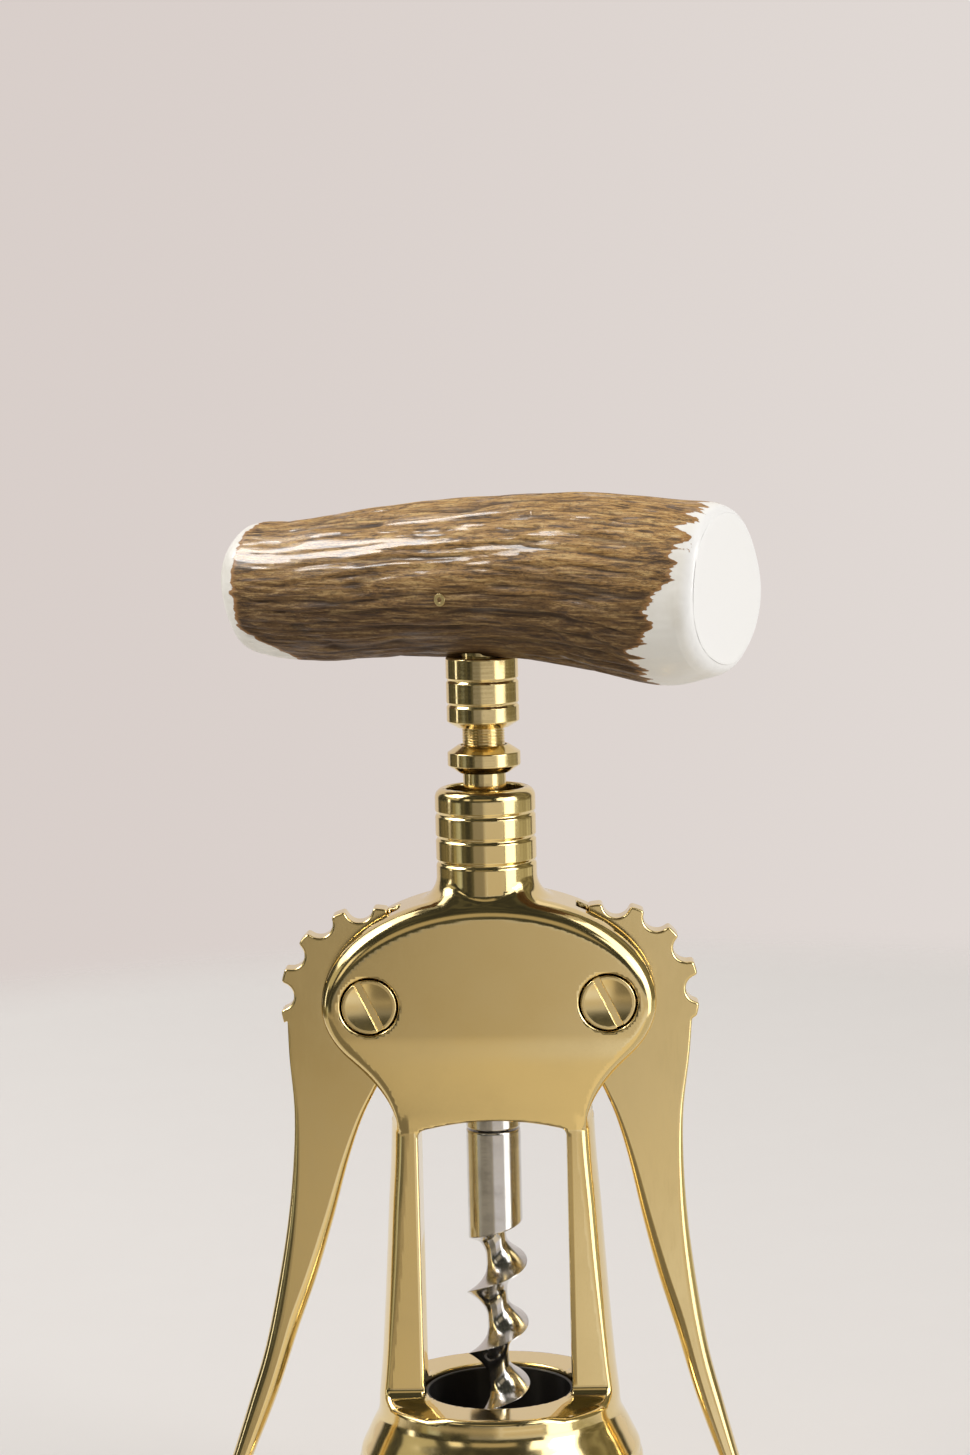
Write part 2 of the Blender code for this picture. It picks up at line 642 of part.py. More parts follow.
def slotted(target, face, x):
    """Cut a screwdriver's slot across a head."""
    long = HEAD_RADIUS + OVERRUN
    half = HEAD_SLOT_WIDTH * HALF
    floor = face - HEAD_SLOT_DEPTH
    corners = ((-half, -long), (half, -long), (half, long), (-half, long))
    rings = [[(u, v, height) for u, v in corners] for height in (floor, face + OVERRUN)]
    slot = loft("slot", rings)
    slot.data.transform(Matrix.Rotation(HEAD_SLOT_TURN, 4, "Z"))
    lay_along_y(slot, x, PIVOT_HEIGHT)
    combine(target, slot, "DIFFERENCE")


def pivot_screw(name, side):
    """The slotted screw that closes a pivot from the front."""
    face = HEAD_THICKNESS * HALF
    under = face - COUNTERBORE_DEPTH + FIT
    top = under + HEAD_HEIGHT
    edge = HEAD_DISH
    outline = screw_head_points(top)
    outline += [(HEAD_RADIUS - edge, top), (HEAD_RADIUS, top - edge), (HEAD_RADIUS, under)]
    outline += [(SCREW_RADIUS, under), (SCREW_RADIUS, under - SCREW_DEPTH), (0, under - SCREW_DEPTH)]
    screw = turned(name, outline, steps=SMALL_STEPS)
    lay_along_y(screw, side * PIVOT_REACH, PIVOT_HEIGHT)
    slotted(screw, top, side * PIVOT_REACH)
    return screw


def pivot_barrel(name, side):
    """The headed barrel that a lever turns on, put in from behind."""
    face = HEAD_THICKNESS * HALF
    under = face - COUNTERBORE_DEPTH + FIT
    top = under + HEAD_HEIGHT
    end = face - COUNTERBORE_DEPTH
    hole = SCREW_RADIUS + FIT
    floor = end - SCREW_DEPTH - FIT
    edge = HEAD_DISH
    outline = [(0, floor), (hole, floor), (hole, end), (BARREL_RADIUS, end), (BARREL_RADIUS, -under)]
    outline += [(HEAD_RADIUS, -under), (HEAD_RADIUS, edge - top), (HEAD_RADIUS - edge, -top), (0, -top)]
    barrel = turned(name, outline, steps=SMALL_STEPS)
    lay_along_y(barrel, side * PIVOT_REACH, PIVOT_HEIGHT)
    return barrel


# Rack and spindle
def rack_sleeve(parent):
    """The ring-toothed sleeve: a bead for each gullet, so that it can turn and still drive."""
    outline = [(RACK_BORE, RACK_TOP), (RACK_ROOT, RACK_TOP)]
    lean = math.acos(-FIT / RIDGE_RADIUS)
    for i in range(RIDGES_ABOVE - 1, -RIDGES_BELOW - 1, -1):
        centre = (RIDGE_CENTRE, FIRST_RIDGE + i * RIDGE_STEP)
        outline += arc(centre, RIDGE_RADIUS, lean, -lean, 4)
    outline += [(RACK_ROOT, RACK_BOTTOM), (RACK_BORE, RACK_BOTTOM)]
    place = parent.location.z
    outline = [(radius, height - place) for radius, height in outline]
    return turned("rack_sleeve", outline, STEEL, parent, SMALL_STEPS)


def ring(name, bore, radius, low, high, look, parent):
    """A plain ring about Z."""
    outline = [(bore, high), (radius, high), (radius, low), (bore, low)]
    return turned(name, outline, look, parent, SMALL_STEPS)


def worm_radius(angle, height):
    """The worm's radius at an angle about Z and a height over its top, which is zero."""
    half_turn = math.radians(180)
    angle = (angle + half_turn) % math.tau - half_turn
    lead = (height + CREST_DROP) / WORM_PITCH - angle / math.tau
    from_crest = abs((lead + HALF) % 1 - HALF) * 2
    left = (height + WORM_LENGTH) / WORM_POINT
    point = math.sqrt(min(max(left, 0), 1))
    flight = WORM_CORE + (WORM_RADIUS - WORM_CORE) * (1 - from_crest) ** FLIGHT_SHARPNESS
    ramp = -SHANK_LENGTH + SHANK_SLANT * (angle + half_turn) / math.tau
    shank = (height - ramp) / WORM_RUNOUT
    back = (angle - RUNOUT_START) / (half_turn - RUNOUT_START)
    above = height + CREST_DROP - WORM_PITCH * angle / math.tau
    runout = min(max(back, 0), 1) * (1 if 0 < above < WORM_PITCH else 0)
    solid = mix(0, 1, max(shank, runout))
    return (flight + (SHANK_RADIUS - flight) * solid) * point


def worm_rings(top):
    """A round shank that runs out into a slim core with one sharp right-handed flight."""
    cut = SHANK_LENGTH - SHANK_SLANT - WORM_RUNOUT
    rings = [circle(SHANK_RADIUS - SHANK_CHAMFER, top, TINY_STEPS)]
    rings.append(circle(SHANK_RADIUS, top - SHANK_CHAMFER, TINY_STEPS))
    rings.append(circle(SHANK_RADIUS, top - cut, TINY_STEPS))
    for i in range(WORM_RINGS):
        height = -cut - (WORM_LENGTH - cut) * (i + HALF) / WORM_RINGS
        phase = math.tau * (height + CREST_DROP) / WORM_PITCH
        points = []
        for j in range(TINY_STEPS):
            share = 2 * j / TINY_STEPS - 1
            spread = math.copysign(abs(share) ** CREST_CROWDING, share) * math.radians(180)
            angle = phase + spread
            radius = worm_radius(angle, height)
            points.append((radius * math.cos(angle), radius * math.sin(angle), top + height))
        rings.append(points)
    return rings


def worm(parent, top):
    """Skin the worm and bore its socket for the spindle rod."""
    made = loft("worm", worm_rings(top), STEEL, parent)
    floor = top - SOCKET_DEPTH
    socket = rod("socket", ROD_RADIUS + FIT, floor, top + OVERRUN, steps=TINY_STEPS)
    socket.parent = parent
    combine(made, socket, "DIFFERENCE")
    return made


def pin_hole(parent, middle):
    """The cutter of the cross pin's hole, through the grip's whole thickness."""
    reach = GRIP_RADIUS + OVERRUN
    hole = rod("pin_hole", PIN_RADIUS + FIT, -reach, reach, steps=TINY_STEPS)
    lay_along_y(hole, 0, middle - PIN_SETBACK)
    hole.parent = parent
    return hole


def threaded_stem(parent, low, high, middle):
    """The brass stem from the rack's top up into the grip, socketed on the spindle rod."""
    socket = low + STEM_SOCKET_DEPTH
    hole = ROD_RADIUS + FIT
    outline = [(0, high), (STEM_RADIUS, high), (STEM_RADIUS, low), (hole, low), (hole, socket)]
    outline.append((0, socket))
    stem = turned("threaded_stem", outline, BRASS, parent, SMALL_STEPS)
    combine(stem, pin_hole(parent, middle), "DIFFERENCE")
    return stem


def stop_collar(parent, low):
    """The coned flange that presses the spindle down on the rack."""
    bore = STEM_RADIUS + FIT
    top = low + STOP_BAND + STOP_CONE + STOP_CONE
    outline = [(bore, top), (bore + FIT, top), (STOP_RADIUS, top - STOP_CONE)]
    outline += [(STOP_RADIUS, low + STOP_CONE), (bore + FIT, low), (bore, low)]
    return turned("stop_collar", outline, BRASS, parent, SMALL_STEPS)


def ferrule(parent, low):
    """The grooved ferrule that the grip sits on."""
    bore = STEM_RADIUS + FIT
    top = low + FERRULE_HEIGHT
    outline = [(bore, top), (FERRULE_RADIUS, top)]
    first = top - FERRULE_TOP_BAND
    outline += grooved(FERRULE_RADIUS, first, FERRULE_GROOVES, FERRULE_GROOVE_SPACING)
    outline += [(FERRULE_RADIUS, low + FERRULE_CONE), (bore + FIT, low), (bore, low)]
    return turned("ferrule", outline, BRASS, parent, SMALL_STEPS)


def grip_station(share):
    """Centre height and radius of the grip at a share of its length, from the left end."""
    rise_shares = (-0.17, -0.24, -0.2, -0.14, -0.07, -0.03, 0.01, -0.01, -0.08, -0.16, -0.12)
    radius_shares = (0.82, 0.89, 0.93, 0.95, 0.975, 0.995, 1.015, 1.06, 1.11, 1.11, 1.0)
    last = len(rise_shares) - 1
    low = min(int(share * last), last - 1)
    between = share * last - low
    rise = mix(rise_shares[low], rise_shares[low + 1], between)
    radius = mix(radius_shares[low], radius_shares[low + 1], between)
    return rise * GRIP_RADIUS, radius * GRIP_RADIUS


def grip_rings(middle):
    """The antler's cross-sections, from its rounded left end to its sawn right end."""
    left_shares = ((0.0, 0.62), (0.006, 0.8), (0.022, 0.94), (0.05, 1.0))
    right_shares = ((0.97, 1.0), (0.992, 0.985), (1.0, 0.92))
    start = left_shares[-1][0]
    run = right_shares[0][0] - start
    between = [(start + run * i / GRIP_RINGS, 1) for i in range(1, GRIP_RINGS)]
    rings = []
    for share, scale in left_shares + tuple(between) + right_shares:
        rise, radius = grip_station(share)
        ring = []
        for j in range(GRIP_SIDES):
            angle = math.tau * j / GRIP_SIDES
            swell = KNOB_SHARES[0] * math.sin(3 * angle + KNOB_TURNS[0] * share)
            swell += KNOB_SHARES[1] * math.sin(5 * angle + KNOB_TURNS[1] * share)
            out = radius * scale * (1 + swell)
            across = out * GRIP_FLAT_SHARE * math.cos(angle)
            along = share * (GRIP_LEFT + GRIP_RIGHT) - GRIP_LEFT
            ring.append((along, across, middle + rise + out * math.sin(angle)))
        rings.append(ring)
    return rings


def handle_grip(parent, middle):
    """A length of antler, bored for the stem and the pin and seated on the ferrule."""
    made = loft("handle_grip", grip_rings(middle), ANTLER, parent)
    foot = middle - GRIP_RADIUS
    top = foot + STEM_INSIDE + FIT
    bore = rod("stem_bore", STEM_RADIUS + FIT, foot - OVERRUN, top)
    seat = rod("seat", FERRULE_RADIUS + FIT, foot - OVERRUN, foot + FIT)
    for tool in (bore, seat):
        tool.parent = parent
        combine(made, tool, "DIFFERENCE")
    combine(made, pin_hole(parent, middle), "DIFFERENCE")
    return made


def grip_pin(parent, middle):
    """The hollow cross pin through grip and stem."""
    half = GRIP_RADIUS * PIN_REACH_SHARE - PIN_SUNK
    outline = [(PIN_BORE, half), (PIN_RADIUS, half), (PIN_RADIUS, -half), (PIN_BORE, -half)]
    pin = turned("grip_pin", outline, BRASS, parent, TINY_STEPS)
    lay_along_y(pin, 0, middle - PIN_SETBACK)
    return pin


def build():
    """Make every piece, each moving one on an empty that marks its joint."""
    for old in list(bpy.data.objects):
        bpy.data.objects.remove(old)
    frame_casting()
    bell_liner()
    for name, side, splay in (("left", -1, LEFT_ARM_SPLAY), ("right", 1, RIGHT_ARM_SPLAY)):
        pivot = empty("pivot_" + name, (side * PIVOT_REACH, 0, PIVOT_HEIGHT))
        lever("lever_" + name, side, splay, pivot)
        pivot_barrel("pivot_barrel_" + name, side)
        pivot_screw("pivot_screw_" + name, side)
    slide = empty("rack_axis", (0, 0, RACK_BOTTOM))
    rack_sleeve(slide)
    turn = empty("spindle_axis", (0, 0, 0), slide)
    turn.rotation_euler = (0, 0, GRIP_TURN)
    base = RACK_BOTTOM
    stem_top = GRIP_HEIGHT - GRIP_RADIUS + STEM_INSIDE
    worm(turn, WORM_TOP - base)
    rod_low = WORM_TOP - SOCKET_DEPTH + FIT
    rod_high = STEM_BOTTOM + STEM_SOCKET_DEPTH - FIT
    rod("spindle_rod", ROD_RADIUS, rod_low - base, rod_high - base, STEEL, turn)
    thrust_low = WORM_TOP + FIT - base
    ring("thrust_ring", RACK_BORE, SHANK_RADIUS, thrust_low, thrust_low + THRUST_HEIGHT, STEEL, turn)
    threaded_stem(turn, STEM_BOTTOM - base, stem_top - base, GRIP_HEIGHT - base)
    stop_collar(turn, STOP_BOTTOM - base)
    ferrule(turn, FERRULE_BOTTOM - base)
    handle_grip(turn, GRIP_HEIGHT - base)
    grip_pin(turn, GRIP_HEIGHT - base)
    bpy.context.view_layer.update()
    print("pieces:", sum(1 for thing in bpy.data.objects if thing.type == "MESH"))


build()
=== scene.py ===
# %% [markdown]
# # A wing corkscrew
#
# A brass body holds a steel worm, a rack of ring teeth and two geared arms, and a length of
# antler is the grip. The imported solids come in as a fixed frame. Each one is then dressed
# with a finer mesh that fills the same space, and rides on the same moving body.

# %% Load the frame
import math

import bmesh
import bpy
import numpy as np
from mathutils import Matrix, Vector, noise


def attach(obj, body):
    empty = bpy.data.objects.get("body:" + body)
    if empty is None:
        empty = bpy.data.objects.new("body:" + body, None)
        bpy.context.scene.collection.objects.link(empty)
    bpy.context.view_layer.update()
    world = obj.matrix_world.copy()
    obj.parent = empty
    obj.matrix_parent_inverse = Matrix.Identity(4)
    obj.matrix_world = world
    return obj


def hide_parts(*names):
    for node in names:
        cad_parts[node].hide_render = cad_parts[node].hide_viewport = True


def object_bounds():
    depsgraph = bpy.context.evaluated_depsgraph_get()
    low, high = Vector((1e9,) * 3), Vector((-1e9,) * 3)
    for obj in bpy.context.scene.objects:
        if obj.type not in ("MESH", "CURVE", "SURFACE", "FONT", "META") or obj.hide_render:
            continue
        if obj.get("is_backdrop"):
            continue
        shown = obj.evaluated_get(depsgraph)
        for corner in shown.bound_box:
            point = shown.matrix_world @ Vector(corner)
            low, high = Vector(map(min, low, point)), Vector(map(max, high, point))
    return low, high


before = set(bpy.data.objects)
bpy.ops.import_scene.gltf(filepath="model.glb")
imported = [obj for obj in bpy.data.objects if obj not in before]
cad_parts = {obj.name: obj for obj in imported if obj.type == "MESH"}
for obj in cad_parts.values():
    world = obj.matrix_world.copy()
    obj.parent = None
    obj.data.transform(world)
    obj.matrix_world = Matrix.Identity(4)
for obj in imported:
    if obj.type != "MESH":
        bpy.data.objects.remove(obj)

MM = 0.001
cad_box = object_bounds()

# %% [markdown]
# ## Sizes that several pieces share
#
# All in millimetres. The worm's axis is Z and the bell's foot is at height 0. Sizes that
# only one piece needs are given where that piece is made.

# %% Shared sizes
PIVOT_X, PIVOT_Z = 20.95, 104.7
LEDGE = 33.2  # top of the bell's ring
ARCH = 81.5  # the window's upper corners
RIM = 142.0  # top of the collar
COLLAR = 8.9  # its radius
PIVOT_BORE = 3.3  # radius, through the head and through each lever
GRIP_MIDDLE = 179.4  # its height
GRIP_TURN = math.radians(-30)  # about the worm's axis, from X
print("pivots", 2 * PIVOT_X, "mm apart, collar rim at", RIM, "mm")

# %% [markdown]
# ## Node trees written as sums
#
# Shaders and Geometry Nodes are both graphs of small nodes. Joining dozens of Math nodes by
# hand is hard to read, so one small class stands for a socket: adding or multiplying two
# wires adds the node that does it. Colours and vectors have nodes of their own, because a
# Math node would turn a colour grey.


# %% A wire and a tree
class Wire:
    """The output of a node, which can be used in plain arithmetic."""

    def __init__(self, tree, socket):
        self.tree, self.socket = tree, socket

    def math(self, operation, *values):
        kind = "ShaderNodeMath"
        if any(isinstance(v, Wire) and v.socket.type in ("VECTOR", "RGBA") for v in values):
            kind = "ShaderNodeVectorMath"
        node = self.tree.new(kind, {"operation": operation})
        for socket, value in zip(node.inputs, values):
            if kind == "ShaderNodeVectorMath" and isinstance(value, (int, float)):
                value = (value, value, value)
            self.tree.put(socket, value)
        return Wire(self.tree, node.outputs[0])

    def ease(self, low, high):
        """0 at low, 1 at high and soft between; low may be the larger one."""
        sockets = {"Value": self, "From Min": low, "From Max": high}
        return self.tree.node("ShaderNodeMapRange", {"interpolation_type": "SMOOTHSTEP"}, sockets)


SUMS = {"add": "ADD", "sub": "SUBTRACT", "mul": "MULTIPLY", "truediv": "DIVIDE", "pow": "POWER"}
SUMS |= {"mod": "FLOORED_MODULO", "lt": "LESS_THAN", "gt": "GREATER_THAN"}
# Python asks for the reflected form, such as __rsub__, where a plain number comes first.
for name, operation in SUMS.items():
    setattr(Wire, f"__{name}__", lambda a, b, say=operation: a.math(say, a, b))
    setattr(Wire, f"__r{name}__", lambda a, b, say=operation: a.math(say, b, a))


class Tree:
    """A node tree in which every node is made by one method."""

    def __init__(self, tree):
        self.tree = tree

    def new(self, kind, settings=None):
        node = self.tree.nodes.new(kind)
        for name, value in (settings or {}).items():
            if name == "stops":
                ramp = node.color_ramp
                while len(ramp.elements) < len(value):
                    ramp.elements.new(0.5)
                for element, (place, colour) in zip(ramp.elements, value):
                    element.position = place
                    element.color = (*colour, 1.0)
            else:
                setattr(node, name, value)
        return node

    def put(self, socket, value):
        if isinstance(value, Wire):
            self.tree.links.new(value.socket, socket)
        else:
            socket.default_value = value

    def node(self, kind, settings=None, values=None, out=0):
        """Add a node: its settings first, then its sockets by name, and give one output."""
        made = self.new(kind, settings)
        for name, value in (values or {}).items():
            socket = made.inputs[name] if isinstance(name, int) else None
            for each in made.inputs:
                if socket is None and each.enabled and name in (each.name, each.identifier):
                    socket = each
            self.put(socket, value)
        outputs = [each for each in made.outputs if each.enabled]
        if isinstance(out, str):
            outputs, out = [each for each in outputs if each.name == out], 0
        return Wire(self, outputs[out]) if outputs else None

    def xyz(self, vector):
        """The three parts of a vector."""
        parts = self.new("ShaderNodeSeparateXYZ")
        self.put(parts.inputs[0], vector)
        return [Wire(self, each) for each in parts.outputs]

    def vector(self, **parts):
        """A vector from its parts X, Y and Z."""
        return self.node("ShaderNodeCombineXYZ", None, parts)

    def blend(self, low, high, share):
        """Mix two colours; three numbers get an alpha of 1."""
        low, high = [c if isinstance(c, Wire) else (*c, 1.0) for c in (low, high)]
        sockets = {"Factor": share, "A": low, "B": high}
        return self.node("ShaderNodeMix", {"data_type": "RGBA"}, sockets)

    def noise(self, vector, scale, detail=3.0, roughness=0.55):
        """A noise value about 0.5, at some waves to the metre."""
        sockets = {"Vector": vector, "Scale": scale, "Detail": detail, "Roughness": roughness}
        return self.node("ShaderNodeTexNoise", None, sockets)

    def stretch(self, vector, scale, turn=(0.0, 0.0, 0.0)):
        """Turn and then scale the place where a pattern is read."""
        sockets = {"Vector": vector, "Rotation": turn}
        placed = self.node("ShaderNodeMapping", {"vector_type": "POINT"}, sockets)
        return self.node("ShaderNodeVectorMath", {"operation": "MULTIPLY"}, {0: placed, 1: scale})


print("a wire knows", len(SUMS), "kinds of arithmetic")

# %% [markdown]
# ## Starting a material
#
# Every finish here is a Principled shader whose colour, roughness and relief come from
# patterns read in object space. Each object sits at the origin, so those patterns stay on
# the metal while it moves.


# %% A new finish
def finish(name, look):
    """Make a material from a function that is given its tree and the object coordinates."""
    made = bpy.data.materials.new(name)
    made.use_nodes = True
    made.node_tree.nodes.clear()
    tree = Tree(made.node_tree)
    shader = look(tree, tree.node("ShaderNodeTexCoord", out="Object"))
    tree.node("ShaderNodeOutputMaterial", None, {"Surface": shader})
    return made


def principled(tree, **sockets):
    """The Principled shader, its sockets given by their names with _ for a space."""
    named = {name.replace("_", " "): value for name, value in sockets.items()}
    return tree.node("ShaderNodeBsdfPrincipled", None, named)


def relief(tree, height, depth):
    """A bump of a depth in millimetres, from a height that runs from 0 to 1."""
    sockets = {"Distance": depth * MM, "Strength": 1.0, "Height": height}
    return tree.node("ShaderNodeBump", None, sockets)


# %% [markdown]
# ## Polished brass
#
# Polished brass is all reflection. Its own colour is a warm yellow that only shows as a tint
# on what it mirrors. Real polish is never even: buffing leaves faint clouds of haze and hair
# lines, so roughness drifts a little, and the tint drifts with it. Turned pieces keep rings
# from the lathe, which the same recipe draws across Z.

# %% Brass finishes
BRASS = (0.87, 0.70, 0.36)


def brass(name, smooth=0.1, rings=0.0, along=(1.0, 1.0, 1.0)):
    """Polished brass, with lathe rings where rings is over 0."""

    def look(tree, place):
        cloud = tree.noise(place, 60.0, 4.0)
        wide = tree.noise(place, 18.0, 2.0)
        hair = tree.noise(tree.stretch(place, along), 2600.0, 3.0, 0.6)
        colour = tree.blend(BRASS, (0.85, 0.67, 0.32), wide.ease(0.35, 0.7))
        colour = tree.blend(colour, (0.76, 0.60, 0.29), cloud.ease(0.6, 0.85) * 0.35)
        rough = smooth + 0.05 * cloud.ease(0.35, 0.75) + 0.03 * hair.ease(0.45, 0.7)
        height = hair
        if rings:
            line = tree.noise(tree.stretch(place, (0.02, 0.02, 1.0)), 3500.0, 2.0, 0.7)
            rough = rough + rings * 0.06 * line.ease(0.4, 0.65)
            height = height * 0.4 + line * rings
        normal = relief(tree, height, 0.0012)
        return principled(tree, Base_Color=colour, Metallic=1.0, Roughness=rough, Normal=normal)

    return finish(name, look)


brass_cast = brass("brass_cast")
brass_turned = brass("brass_turned", 0.09, rings=1.0)
brass_plate = brass("brass_plate", 0.13, along=(1.0, 1.0, 0.15))
brass_screw = brass("brass_screw", 0.13)
brass_pin = brass("brass_pin", 0.38)
print("brass finishes:", [m.name for m in bpy.data.materials if m.name.startswith("brass_")])

# %% [markdown]
# ## Steel
#
# The worm, its shank and the rack are bright steel, ground and then lightly polished. The
# grinding lines run round the shank.


# %% Steel and the liner's dark finish
def steel_look(tree, place):
    line = tree.noise(tree.stretch(place, (0.05, 0.05, 1.0)), 3000.0, 3.0, 0.7)
    cloud = tree.noise(place, 220.0, 4.0)
    colour = tree.blend((0.66, 0.64, 0.615), (0.55, 0.525, 0.50), cloud.ease(0.45, 0.8))
    rough = 0.13 + 0.07 * cloud.ease(0.3, 0.8) + 0.05 * line.ease(0.4, 0.7)
    normal = relief(tree, line, 0.0015)
    return principled(tree, Base_Color=colour, Metallic=1.0, Roughness=rough, Normal=normal)


def liner_look(tree, place):
    grain = tree.noise(place, 1800.0, 3.0)
    scuff = tree.noise(tree.stretch(place, (1.0, 1.0, 0.2)), 300.0, 4.0)
    colour = tree.blend((0.012, 0.0105, 0.010), (0.03, 0.027, 0.025), scuff.ease(0.45, 0.8))
    rough = 0.42 + 0.16 * scuff.ease(0.3, 0.7)
    return principled(tree, Base_Color=colour, Roughness=rough, Normal=relief(tree, grain, 0.01))


steel = finish("steel_bright", steel_look)
liner_dark = finish("liner_dark", liner_look)
print("finishes so far:", len(bpy.data.materials))

# %% [markdown]
# ## From points to a piece
#
# Every mesh ends the same way: it becomes an object at the origin, gets a finish, stands for
# its solid and rides on its body. Where the surface is known exactly, its normals are given
# with the points. A coarse mesh with true normals mirrors a room as smoothly as a fine one.


# %% Dress a solid
def add(name, data):
    """Put new data into the scene as an object."""
    made = bpy.data.objects.new(name, data)
    bpy.context.scene.collection.objects.link(made)
    return made


def outward(mesh):
    """Turn every face outward and shade it smooth."""
    bm = bmesh.new()
    bm.from_mesh(mesh)
    bmesh.ops.recalc_face_normals(bm, faces=bm.faces)
    bm.to_mesh(mesh)
    bm.free()
    mesh.shade_smooth()


def piece(name, shape, look, body, node):
    """Put points in millimetres, faces and maybe normals in the place of a solid."""
    points, faces, *normals = shape
    mesh = bpy.data.meshes.new(name)
    mesh.from_pydata((np.asarray(points) * MM).tolist(), [], [list(map(int, f)) for f in faces])
    mesh.validate()
    outward(mesh)
    mesh.materials.append(look)
    if normals:
        mesh.normals_split_custom_set_from_vertices(np.asarray(normals[0]).tolist())
    made = add(name, mesh)
    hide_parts(node)
    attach(made, body)
    triangles = sum(len(face.vertices) - 2 for face in mesh.polygons)
    print(f"{name}: {triangles} triangles, for {node}, on {body}")
    return made


# %% [markdown]
# ## A surface given by a formula
#
# The body is a casting: a turned bell, milled legs and a flat head run into each other with
# soft fillets everywhere. Booleans followed by a bevel would break on such fillets. So the
# casting is written as a signed distance, a function that is negative in the metal and
# positive in the air. Two forms are joined by taking the smaller distance, and a rounded
# smaller one gives a fillet whose radius is simply a number.


# %% Distance arithmetic
def join(a, b, r):
    """Two forms in one, with a fillet of radius r in the corner between them."""
    return np.maximum(r, np.minimum(a, b)) - np.hypot(np.maximum(r - a, 0), np.maximum(r - b, 0))


def meet(a, b, r):
    """What two forms share, its edge rounded by radius r."""
    return np.minimum(-r, np.maximum(a, b)) + np.hypot(np.maximum(r + a, 0), np.maximum(r + b, 0))


def fold(a, b, width):
    """The larger of two distances, softly bent where they cross at a small angle."""
    return np.maximum(a, b) + np.maximum(width - np.abs(a - b), 0) ** 2 / (4 * width)


def ease(low, high, value):
    """0 at low, 1 at high and soft between."""
    share = np.clip((value - low) / (high - low), 0, 1)
    return share * share * (3 - 2 * share)


def through(points, samples=60):
    """A smooth curve through some points, sampled densely."""
    p = np.array([points[0], *points, points[-1]], float)
    t = np.linspace(0, 1, samples, endpoint=False)[:, None]
    parts = []
    for a, b, c, d in zip(p, p[1:], p[2:], p[3:]):
        bend = 2 * a - 5 * b + 4 * c - d
        parts.append(b + (c - a) * t / 2 + bend * t**2 / 2 + (3 * b - a - 3 * c + d) * t**3 / 2)
    return np.concatenate([*parts, p[-1:]])


# %% [markdown]
# To get a mesh, the formula is read on a grid of points. Each small box whose corners differ
# in sign gets one vertex, and each grid line that crosses the surface gets a face between the
# four boxes round it. Then every vertex slides down the distance's slope onto the true
# surface, and that slope is its normal.


# %% Skin a distance
def skin(field, axes):
    """The surface of a distance on a grid, as vertices and four-sided faces."""
    values = field(*np.meshgrid(*axes, indexing="ij"))
    cells = np.array(values.shape) - 1
    total, count = np.zeros((cells.prod(), 3)), np.zeros(cells.prod())
    crossings = []
    for axis in range(3):
        low = np.moveaxis(values, axis, 0)[:-1]
        high = np.moveaxis(values, axis, 0)[1:]
        low, high = np.moveaxis(low, 0, axis), np.moveaxis(high, 0, axis)
        crossed = (low < 0) != (high < 0)
        at = np.argwhere(crossed)
        share = low[crossed] / (low[crossed] - high[crossed])
        point = np.stack([axes[k][at[:, k]] for k in range(3)], 1).astype(float)
        point[:, axis] += share * (axes[axis][at[:, axis] + 1] - axes[axis][at[:, axis]])
        around = []
        for i, j in ((-1, -1), (0, -1), (0, 0), (-1, 0)):
            cell = at.copy()
            cell[:, (axis + 1) % 3] += i
            cell[:, (axis + 2) % 3] += j
            inside = ((cell >= 0) & (cell < cells)).all(1)
            flat = np.ravel_multi_index(np.clip(cell, 0, cells - 1).T, cells)
            np.add.at(total, flat[inside], point[inside])
            np.add.at(count, flat[inside], 1)
            around.append(flat)
        quad = np.stack(around, 1)
        outward = low[crossed] < 0
        quad[~outward] = quad[~outward][:, ::-1]
        crossings.append(quad)
    used = np.flatnonzero(count)
    index = np.full(len(count), -1)
    index[used] = np.arange(len(used))
    faces = index[np.concatenate(crossings)]
    return total[used] / count[used][:, None], faces[(faces >= 0).all(1)]


def slope(field, points, step=0.02):
    """The direction in which a distance grows."""
    grown = np.empty_like(points)
    for k in range(3):
        shift = np.zeros(3)
        shift[k] = step
        grown[:, k] = (field(*(points + shift).T) - field(*(points - shift).T)) / (2 * step)
    return grown


def settle(field, points, rounds=5):
    """Slide points onto the surface, and give the normals there."""
    for _ in range(rounds):
        grown = slope(field, points)
        step = field(*points.T) / np.maximum((grown**2).sum(1), 0.3)
        points = points - np.clip(step, -0.25, 0.25)[:, None] * grown
    grown = slope(field, points)
    return points, grown / np.maximum(np.linalg.norm(grown, axis=1), 1e-9)[:, None]


def levels(low, high, step, finer=()):
    """Grid lines from low to high, closer in some ranges of (from, to, step)."""
    lines = [low]
    while lines[-1] < high:
        here = lines[-1]
        lines.append(here + min([step] + [s for a, b, s in finer if a - step / 2 < here < b]))
    return np.array(lines)


# %% [markdown]
# ## The casting
#
# The bell and the legs are first one turned blank: a foot lip, a straight skirt, a bead and
# a waist that narrows upwards. Its front and back are milled flat down to the ring's ledge,
# with a round foot to each leg. The oval head is a thick plate with wide rounds above, the
# collar is a tube with three fine grooves, and a soft neck joins the two.

